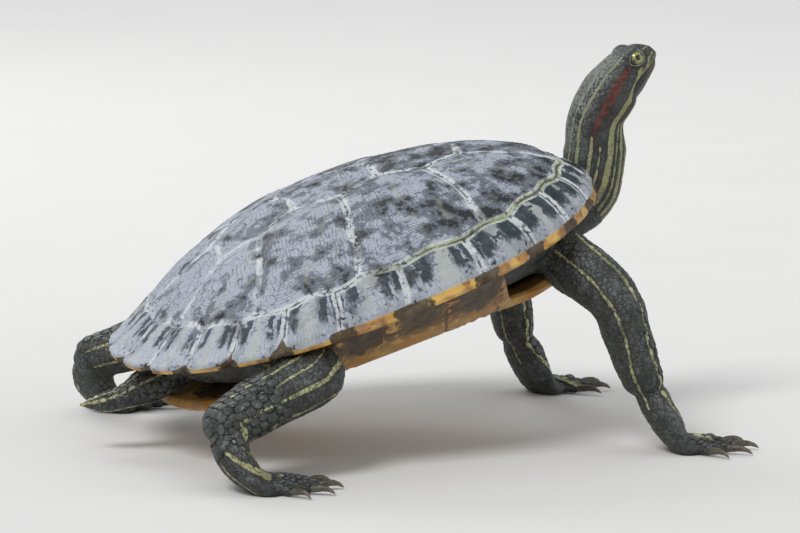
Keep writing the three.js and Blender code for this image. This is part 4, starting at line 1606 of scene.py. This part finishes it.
def tinted(share, a, b):
    """Colour a where the share is 0 and colour b where it is 1."""
    a, b = (given if isinstance(given, Value) else colour(*given) for given in (a, b))
    mixer = new_node(share.tree, "ShaderNodeMix", {0: share, 6: a, 7: b}, data_type="RGBA")
    return Value(mixer, 2)


def coated(base, *coats):
    """A colour under several coats; each is how much there is of it, and its colour."""
    for share, tint in coats:
        base = tinted(share, base, tint)
    return base


def facing_up(tree):
    """1 where the surface looks up, 0 where it looks down."""
    return axis_of(Value(new_node(tree, "ShaderNodeNewGeometry"), "Normal"), "Z").mask(-0.6, 0.9)


def new_material(name):
    """A material with one Principled shader; the shader, and the place in metres."""
    material = bpy.data.materials.new(name)
    material.use_nodes = True
    tree = material.node_tree
    place = Value(new_node(tree, "ShaderNodeTexCoord"), "Object")
    return material, tree.nodes["Principled BSDF"], place


def finish_surface(shader, base, roughness, height, strength, distance):
    """Wires colour, roughness and relief into the shader; the distance is in millimetres."""
    inputs = {"Height": height, "Strength": strength, "Distance": distance * MM}
    bumped = Value(new_node(base.tree, "ShaderNodeBump", inputs))
    for name, value in (("Base Color", base), ("Roughness", roughness), ("Normal", bumped)):
        base.tree.links.new(value.socket, shader.inputs[name])


# %% [markdown]
# ## Grain that several finishes share
#
# Horn and skin alike have fine pores and a dusting of dried mud and algae. It is one node group
# with a size to set, and it gives out a height for the relief and a mask for the dust.

# %% The dusty grain group
grain_group = bpy.data.node_groups.new("dusty grain", "ShaderNodeTree")
for name, kind, way in (
    ("Place", "NodeSocketVector", "INPUT"), ("Size", "NodeSocketFloat", "INPUT"),
    ("Height", "NodeSocketFloat", "OUTPUT"), ("Dust", "NodeSocketFloat", "OUTPUT"),
):
    grain_group.interface.new_socket(name, in_out=way, socket_type=kind)
came_in, goes_out = (grain_group.nodes.new(kind) for kind in ("NodeGroupInput", "NodeGroupOutput"))
place, scale = Value(came_in, "Place"), Value(came_in, "Size")
inputs = {"Vector": place, "Scale": scale, "Detail": 4.0}
fine = Value(new_node(grain_group, "ShaderNodeTexNoise", inputs), "Fac")
inputs = {"Vector": place, "Scale": scale * 0.09, "Detail": 6.0, "Roughness": 0.65}
coarse = Value(new_node(grain_group, "ShaderNodeTexNoise", inputs), "Fac")
speckle = (coarse + fine * 0.35).mask(0.58, 0.82)
grain_group.links.new(fine.socket, goes_out.inputs["Height"])
grain_group.links.new(speckle.socket, goes_out.inputs["Dust"])


def dusty_grain(place, size):
    """The group's height and dust, for a grain of a size in millimetres."""
    inputs = {"Place": place, "Size": 1 / (size * MM)}
    node = new_node(place.tree, "ShaderNodeGroup", inputs, node_tree=grain_group)
    return Value(node, "Height"), Value(node, "Dust")


print("grain group:", len(grain_group.nodes), "nodes")

# %% [markdown]
# ## Finish of the upper shell
#
# Dry horn: dark olive-brown underneath, under a blue-grey film of dried algae in two coats, a
# thin one and a thick one, each with crisp, flaking edges. Fine wrinkles follow the growth rings,
# which run round each plate, so they are drawn from the distance to the seam. The seam itself is
# a thin dark line between two pale ones. Each marginal has a pale upright bar between two dark
# blotches, and underneath it is orange with yellow patches. The front is darker and more strongly
# marked than the rear, so several masks are shifted by how far in front a place lies.

# %% Horn, film and wrinkles of the upper shell
carapace_finish, shader, place = new_material("weathered carapace horn")
tree = place.tree
seam, bar, border, marginal = (
    painted(tree, name) for name in ("seam", "bar", "border", "marginal")
)
from_middle, underside, plate_tone = (
    painted(tree, name) for name in ("from_middle", "underside", "plate_tone")
)
grain, dust = dusty_grain(place, 0.5)
broad, patches = mottle(place, 17, 3), mottle(place, 9, 5)
cloud, flecks = mottle(place, 6.5, 7), mottle(place, 1.7, 4)
forwards = axis_of(place)
# The first mask is 1 at the rear, where a painted highlight makes the film paler.
rear_highlight, in_front = forwards.mask(-20 * MM, -90 * MM), forwards.mask(-30 * MM, 35 * MM)

# Wrinkles: rings round each plate, broken by the flecks, and a net of fine cracks.
above = (underside + 0.3 * flecks).mask(0.7, 0.45)
rings = (4.3 * seam + 14.0 * cloud).math("SINE").mask(0.35, 0.95)
rings = rings * flecks.mask(0.42, 0.6) * seam.mask(1.2, 2.2) * above
DRIFT = 5
drift = {0: texture(place, "Noise", DRIFT, "Color", {"Detail": 2.0}), "Scale": DRIFT * MM}
shift = Value(new_node(tree, "ShaderNodeVectorMath", drift, operation="SCALE"))
warped = Value(new_node(tree, "ShaderNodeVectorMath", {0: place, 1: shift}, operation="ADD"))
cracks = cell_edge(warped, 4.6).mask(0.05, 0.01) * broad.mask(0.4, 0.62) * (0.8 * above + 0.1)
wrinkles = rings + cracks

# The film gathers where its clouds are dense. On top and towards the rear it is made thicker as well,
# which is a painted highlight where the light falls; in front it is made a little thinner.
film_and_painted_light = 0.36 * cloud + 0.4 * patches + 0.22 * flecks + 0.3 * broad + 0.04 * plate_tone
film_and_painted_light = film_and_painted_light + 0.05 * facing_up(tree) + 0.06 * rear_highlight - 0.02 * in_front
thin_coat, thick_coat = 0.88 * film_and_painted_light.mask(0.63, 0.68), 0.9 * film_and_painted_light.mask(0.7, 0.755)
old_bar = 0.3 * (bar + 3.0 * flecks).mask(2.9, 1.9) * cloud.mask(0.4, 0.55)
horn = coated(
    tinted(cloud.mask(0.38, 0.62), (34, 37, 38), (73, 76, 72)),
    (thin_coat, (110, 116, 127)),
    (thick_coat, (170, 176, 188)),
    (0.46 * wrinkles, (50, 53, 55)),
    (old_bar, (164, 166, 132)),
)
print("horn, film and wrinkles:", len(tree.nodes), "nodes")

# %% Marginals, seams and underside of the upper shell
ragged = from_middle + 0.9 * cloud + 0.6 * flecks + 0.5 * broad
pale_bar = marginal * ragged.mask(1.26, 1.14) * (0.4 * plate_tone + 0.45)
from_border = border + 7.0 * cloud + 5.0 * flecks
outer_edge = 0.6 * marginal * from_border.mask(14.5, 16.5) * flecks.mask(0.36, 0.46)

# The dark blotches are cut into dashes, less so in front.
dashes = (15.0 * from_middle + 10.0 * cloud + 3.0 * flecks).math("SINE")
blotch = marginal * (ragged + 0.14 * in_front).mask(1.24, 1.36) * from_border.mask(19.0, 16.0)
blotch = blotch * (seam + 1.5 * flecks + 0.5 * in_front).mask(1.9, 2.5)
blotch = blotch * (dashes + 0.7 * in_front).mask(-0.55, -0.2)
blotch = blotch * (cloud + 0.06 * in_front).mask(0.34, 0.44)

# The seams' pale edges are broken, again less so in front; the border's line is yellow-green.
broken = (flecks + 0.5 * cloud).mask(0.6, 0.74) * (patches.mask(0.42, 0.56) + 0.35) + 0.3 * in_front
pale_edge = (seam + 1.6 * flecks - 0.35 * in_front).mask(2.6, 2.0) * broken
on_border = (border + 2.4 * flecks + 1.5 * cloud).mask(3.6, 2.9)
on_border = on_border * (flecks + 0.6 * cloud).mask(0.62, 0.8) * forwards.mask(-50 * MM, 10 * MM)
dark_line = (seam + 0.5 * flecks - 0.25 * in_front).mask(0.72, 0.5)

smudge = (from_middle + 0.5 * cloud + 0.45 * flecks).mask(1.0, 1.1)
orange = coated(
    tinted(cloud.mask(0.36, 0.6), (138, 90, 38), (190, 138, 64)),
    (0.7 * patches.mask(0.47, 0.56), (226, 184, 96)),
    (0.93 * smudge, (44, 32, 24)),
    (0.4 * dust, (132, 126, 108)),
)
base = coated(
    horn,
    (outer_edge, (178, 184, 192)),
    (pale_bar, (178, 182, 180)),
    (0.88 * blotch, (32, 48, 53)),
    (0.85 * pale_edge, (198, 203, 204)),
    (0.8 * on_border, (160, 167, 120)),
    (0.8 * dark_line, (48, 48, 44)),
    (1 - above, orange),
)
roughness = 0.15 * dust + 0.14 * thick_coat + 0.46
height = 0.35 * thin_coat + 0.45 * thick_coat + 0.3 * grain + flecks - wrinkles
shader.inputs["Specular IOR Level"].default_value = 0.4
finish_surface(shader, base, roughness, height, 0.55, 0.4)
print("upper shell material:", len(tree.nodes), "nodes")

# %% [markdown]
# ## Finish of the lower shell
#
# Smooth yellow-orange horn with one dark, cloudy smudge on each plate; on the bridges, under the
# rim, more dark is laid on, partly their own markings and partly painted shade. Faint growth lines
# run along the seams, and there is grime and dust in places.

# %% Lower shell material
plastron_finish, shader, place = new_material("blotched plastron horn")
seam, blotch, bridge = (painted(place.tree, name) for name in ("seam", "blotch", "bridge"))
grain, dust = dusty_grain(place, 0.5)
broad, cloud = mottle(place, 15, 3), mottle(place, 4, 5)
growth = (3.6 * seam + 6.0 * cloud).math("SINE").mask(0.5, 0.95)
growth = growth * seam.mask(9.0, 3.0) * broad.mask(0.4, 0.56)
base = coated(
    tinted(broad.mask(0.36, 0.64), (176, 122, 50), (206, 158, 82)),
    (0.4 * (broad + cloud).mask(0.96, 1.1), (104, 92, 60)),
    (0.93 * (blotch + 14.0 * cloud).mask(15.6, 14.2), (40, 30, 24)),
    # On the bridges, under the rim: dark markings made heavier by painted shade.
    (0.88 * bridge * cloud.mask(0.43, 0.48), (48, 35, 27)),
    (0.35 * growth, (120, 82, 40)),
    (seam.mask(1.0, 0.45), (84, 58, 34)),
    (0.3 * dust, (140, 134, 116)),
)
finish_surface(shader, base, 0.2 * dust + 0.36, cloud + grain, 0.35, 0.25)
print("lower shell material:", len(place.tree.nodes), "nodes")

# %% [markdown]
# ## Finish of the skin
#
# Dark grey-olive skin with lighter scales; the creases between them are darkened as painted shade.
# The stripes are cut from the painted distance, with noise to make their edges ragged, as rows of
# scales do. All that looks up is paler: partly a dry dust film, partly a painted highlight. Towards
# the head the scales fade out, and the skin there has fine granules with furrows between them,
# which are darkened as painted shade. Only the head has the red patch, the dark line of the mouth,
# which is painted shade in its slit, the rims of the lids and the bare horn of the beak.

# %% What only the head and the neck have
GRANULE_SIZE = 0.72


def head_skin(place, base, in_crease, scaly, broad, cloud, patchy, ragged):
    """What only the head and the neck have over the base colour, and how deep the furrows are."""
    beak, crown, mouth, lid, red, crease = (
        painted(place.tree, name) for name in ("beak", "crown", "mouth", "lid", "red", "crease")
    )
    bare = 0.8 * (1 - scaly) * (1 - beak)
    granules = cell_edge(place, GRANULE_SIZE).mask(0.13, 0.01) * bare * broad.mask(0.36, 0.56)
    folds = (mottle(place, 1.5, 6, (1, 1, 3.2)) - 0.5).math("ABSOLUTE").mask(0.03, 0.0)
    furrow = granules.math("MAXIMUM", 0.7 * folds * bare)
    rust = tinted(cloud.mask(0.4, 0.58), (74, 28, 20), (122, 48, 32))
    horn = tinted(mottle(place, 1.6, 4, (1, 1, 0.3)).mask(0.4, 0.65), (88, 84, 60), (146, 140, 102))
    lid_rim = tinted(patchy.mask(0.7, 0.84), (96, 98, 70), (160, 160, 112))
    base = coated(
        base,
        (0.86 * (red + 1.5 * ragged).mask(0.25, -0.2) * patchy.mask(0.66, 0.76), rust),
        # The top of the head is painted paler: a painted highlight.
        (0.7 * crown * patchy.mask(0.74, 0.84), (140, 146, 138)),
        (0.6 * mottle(place, 0.9, 3).mask(0.62, 0.68) * bare, (28, 30, 26)),
        # Painted shade darkens the furrows between the granules and the fine folds, which are also sunk
        # in the relief.
        (0.5 * furrow, (30, 31, 28)),
        (0.7 * beak, horn),
        # A near-black line along the mouth: painted shade in the slit between the jaws.
        (0.85 * mouth.mask(0.5, 0.22), (20, 19, 15)),
        # Painted shade darkens the dents of the folds.
        (0.55 * crease, (28, 29, 26)),
        # Painted shade in the creases between the scales.
        (in_crease, (24, 25, 22)),
        (0.66 * lid.mask(0.55, 0.4) * lid.mask(0.1, 0.25), lid_rim),
        # Near-black where the lid meets the eyeball: painted shade in that gap.
        (0.9 * lid.mask(0.2, 0.0), (14, 14, 12)),
    )
    return base, furrow


# %% Skin material
def skin_surface(name, on_scales=False):
    """The skin's finish; on_scales is for the horny scales, which carry the same markings."""
    material, shader, place = new_material(name)
    tree = place.tree
    grain, dust = dusty_grain(place, 0.35)
    broad, cloud = mottle(place, 13, 4), mottle(place, 2.6, 5)
    if on_scales:
        rim, tone = painted(tree, "rim"), painted(tree, "tone")
        # Painted shade darkens the rim of each horny scale, where it meets the skin.
        relief, in_crease = rim.mask(1.0, 0.6), 0.6 * rim.mask(0.75, 1.0)
    else:
        scaly = painted(tree, "scaly")
        edge, grey = scale_cells(place, scaly)
        relief, tone = edge.mask(0.0, 0.16) * scaly, grey * scaly
        # Painted shade darkens the creases between the small scales, where the relief sinks.
        in_crease = 0.75 * edge.mask(0.11, 0.0) * scaly
    patchy = 0.6 * broad + mottle(place, 1.1, 6)
    # Paler where the skin looks up: partly a dry dust film, partly a painted highlight where the light
    # falls from above.
    film_and_painted_light = 0.4 * facing_up(tree) * patchy.mask(0.8, 0.92) + 0.2 * dust
    ragged = 1.5 * (cloud - 0.5)
    stripe_gap = painted(tree, "stripe") + ragged
    stripe = 0.84 * stripe_gap.mask(0.16, -0.12) * broad.mask(0.22, 0.48)
    base = coated(
        tinted(broad.mask(0.36, 0.64), (25, 27, 24), (47, 50, 45)),
        (0.5 * tone, (79, 82, 74)),
        (film_and_painted_light, (132, 138, 140)),
        (0.55 * stripe_gap.mask(1.4, 0.2), (32, 34, 30)),
        (stripe, tinted(tone, (160, 160, 110), (190, 188, 146))),
    )
    if on_scales:
        # The painted shade at the rim of each horny scale.
        base = tinted(in_crease, base, (24, 25, 22))
    else:
        base, furrow = head_skin(place, base, in_crease, scaly, broad, cloud, patchy, ragged)
        relief = relief - furrow
    shader.inputs["Specular IOR Level"].default_value = 0.42
    finish_surface(shader, base, 0.2 * dust + 0.46, relief + 0.3 * (grain + cloud), 0.7, 0.22)
    return material


skin_finish = skin_surface("striped turtle skin")
scale_finish = skin_surface("striped horny scales", on_scales=True)
print("skin material:", len(skin_finish.node_tree.nodes), "nodes")

# %% [markdown]
# ## Finish of eyes and claws
#
# The eye is the one wet, glossy thing on a dry animal. The iris is yellow-green with a dark bar
# through the pupil and a pale ring round it, and it darkens to the edge. The claws are dark horn
# that pales at the tip.

# %% Eye and claw materials
eye_finish, shader, place = new_material("wet eye")
across, upward = painted(place.tree, "across"), painted(place.tree, "upward")
reach = (across * across + upward * upward).math("SQRT")
fleck = mottle(place, 0.5, 4)
base = coated(
    tinted(fleck.mask(0.36, 0.62), (92, 100, 34), (156, 160, 70)),
    (0.92 * (upward.math("ABSOLUTE") + 0.5 * fleck).mask(1.05, 0.8), (26, 24, 14)),
    (reach.mask(1.9, 2.6), (24, 24, 14)),
    (0.8 * reach.mask(1.5, 1.38), (196, 190, 96)),
    (reach.mask(1.25, 1.12), (4, 4, 4)),
)
place.tree.links.new(base.socket, shader.inputs["Base Color"])
for name, value in (("Roughness", 0.12), ("Coat Weight", 1.0), ("Coat Roughness", 0.03)):
    shader.inputs[name].default_value = value

claw_finish, shader, place = new_material("dark claw horn")
grain, dust = dusty_grain(place, 0.3)
fibre = mottle(place, 0.8, 4)
base = coated(
    tinted(fibre.mask(0.38, 0.64), (44, 39, 33), (86, 78, 64)),
    (0.6 * painted(place.tree, "from_base").mask(0.55, 1.0), (128, 116, 92)),
    (0.3 * dust, (120, 118, 108)),
)
finish_surface(shader, base, 0.25 * dust + 0.34, fibre + grain, 0.4, 0.12)
print("materials:", len(bpy.data.materials))

# %% [markdown]
# ## Dressing the pieces
#
# Each piece gets its finish, rides on the one body of the model and takes the place of its
# solids. Everything is shaded smooth: the creases are modelled.

# %% Dress and attach
LEG_PARTS = ("upper_arm", "forearm", "forefoot", "thigh", "shank", "hindfoot")
FLESH_NODES = ["trunk", "neck", "head", "lower_jaw", "tail"]
FLESH_NODES += [f"{part}_{side}" for side in ("right", "left") for part in LEG_PARTS]


def dress(piece, material, slot, *nodes):
    pick(piece)
    bpy.ops.object.shade_smooth()
    piece.data.materials.clear()
    piece.data.materials.append(material)
    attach(piece, "root")
    if nodes:
        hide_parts(*nodes)


dress(carapace, carapace_finish, "carapace_horn", "carapace")
dress(plastron, plastron_finish, "plastron_horn", "plastron")
dress(skin, skin_finish, "skin", *FLESH_NODES)
dress(scales, scale_finish, "skin")
for node_name, eye in eyes.items():
    dress(eye, eye_finish, "eye", node_name)
for node_name, claw in claws.items():
    dress(claw, claw_finish, "claw", node_name)
print("dressed the shell, the skin, its scales,", len(eyes), "eyes and", len(claws), "claws")

# %% [markdown]
# ## Floor, light and camera
#
# A plain pale floor, one broad sun from the upper left behind the camera and two large soft
# lamps, at a level at which a colour renders about as it is written. The camera looks from the
# animal's right and a little from behind, through a long lens.

# %% Set the stage
start_fresh()
bpy.ops.mesh.primitive_plane_add(size=12, location=(0, 0, 0))
floor = bpy.context.object
floor.name = "studio_floor"
floor_finish, shader, place = new_material("pale floor")
pale = tinted(mottle(place, 60, 2), (221, 220, 217), (225, 224, 221))
place.tree.links.new(pale.socket, shader.inputs["Base Color"])
shader.inputs["Roughness"].default_value = 0.9
shader.inputs["Specular IOR Level"].default_value = 0.05
floor.data.materials.append(floor_finish)

world = bpy.data.worlds.new("studio")
bpy.context.scene.world = world
world.use_nodes = True
sky = world.node_tree.nodes["Background"]
sky.inputs["Color"].default_value = (0.93, 0.96, 1.0, 1)
sky.inputs["Strength"].default_value = 0.56


def soft_lamp(name, kind, spot, power, **settings):
    """A lamp at a place in metres, turned to the animal."""
    start_fresh()
    bpy.ops.object.light_add(type=kind, location=spot)
    lamp = bpy.context.object
    lamp.name = name
    lamp.data.energy = power
    for setting, value in settings.items():
        setattr(lamp.data, setting, value)
    lamp.rotation_euler = (Vector((0, 0, 0.06)) - Vector(spot)).to_track_quat("-Z", "Y").to_euler()


soft_lamp("key_lamp", "SUN", (-0.8, -0.62, 1.3), 1.6, angle=math.radians(20))
soft_lamp("side_lamp", "AREA", (1.2, -0.8, 0.6), 2.5, size=0.9)
soft_lamp("back_lamp", "AREA", (-0.3, 1.2, 1.0), 5, size=0.7)

# %% Aim the camera
CAMERA_AZIMUTH, CAMERA_ELEVATION = math.radians(-19), math.radians(9)
CAMERA_DISTANCE, VIEW_WIDTH = 1.8, 0.312
AIM_ASIDE = Vector((0.004, 0, -0.0085))
low, high = cad_box
aim = (Vector(low) + Vector(high)) / 2 + AIM_ASIDE
back_along = Vector((
    math.sin(CAMERA_AZIMUTH) * math.cos(CAMERA_ELEVATION),
    -math.cos(CAMERA_AZIMUTH) * math.cos(CAMERA_ELEVATION),
    math.sin(CAMERA_ELEVATION),
))
start_fresh()
bpy.ops.object.camera_add(location=aim + back_along * CAMERA_DISTANCE)
camera = bpy.context.object
camera.name = "studio_camera"
camera.rotation_euler = (-back_along).to_track_quat("-Z", "Y").to_euler()
camera.data.lens = camera.data.sensor_width * CAMERA_DISTANCE / VIEW_WIDTH
camera.data.clip_end = 20
bpy.context.scene.camera = camera
bpy.context.scene.view_settings.view_transform = "Standard"
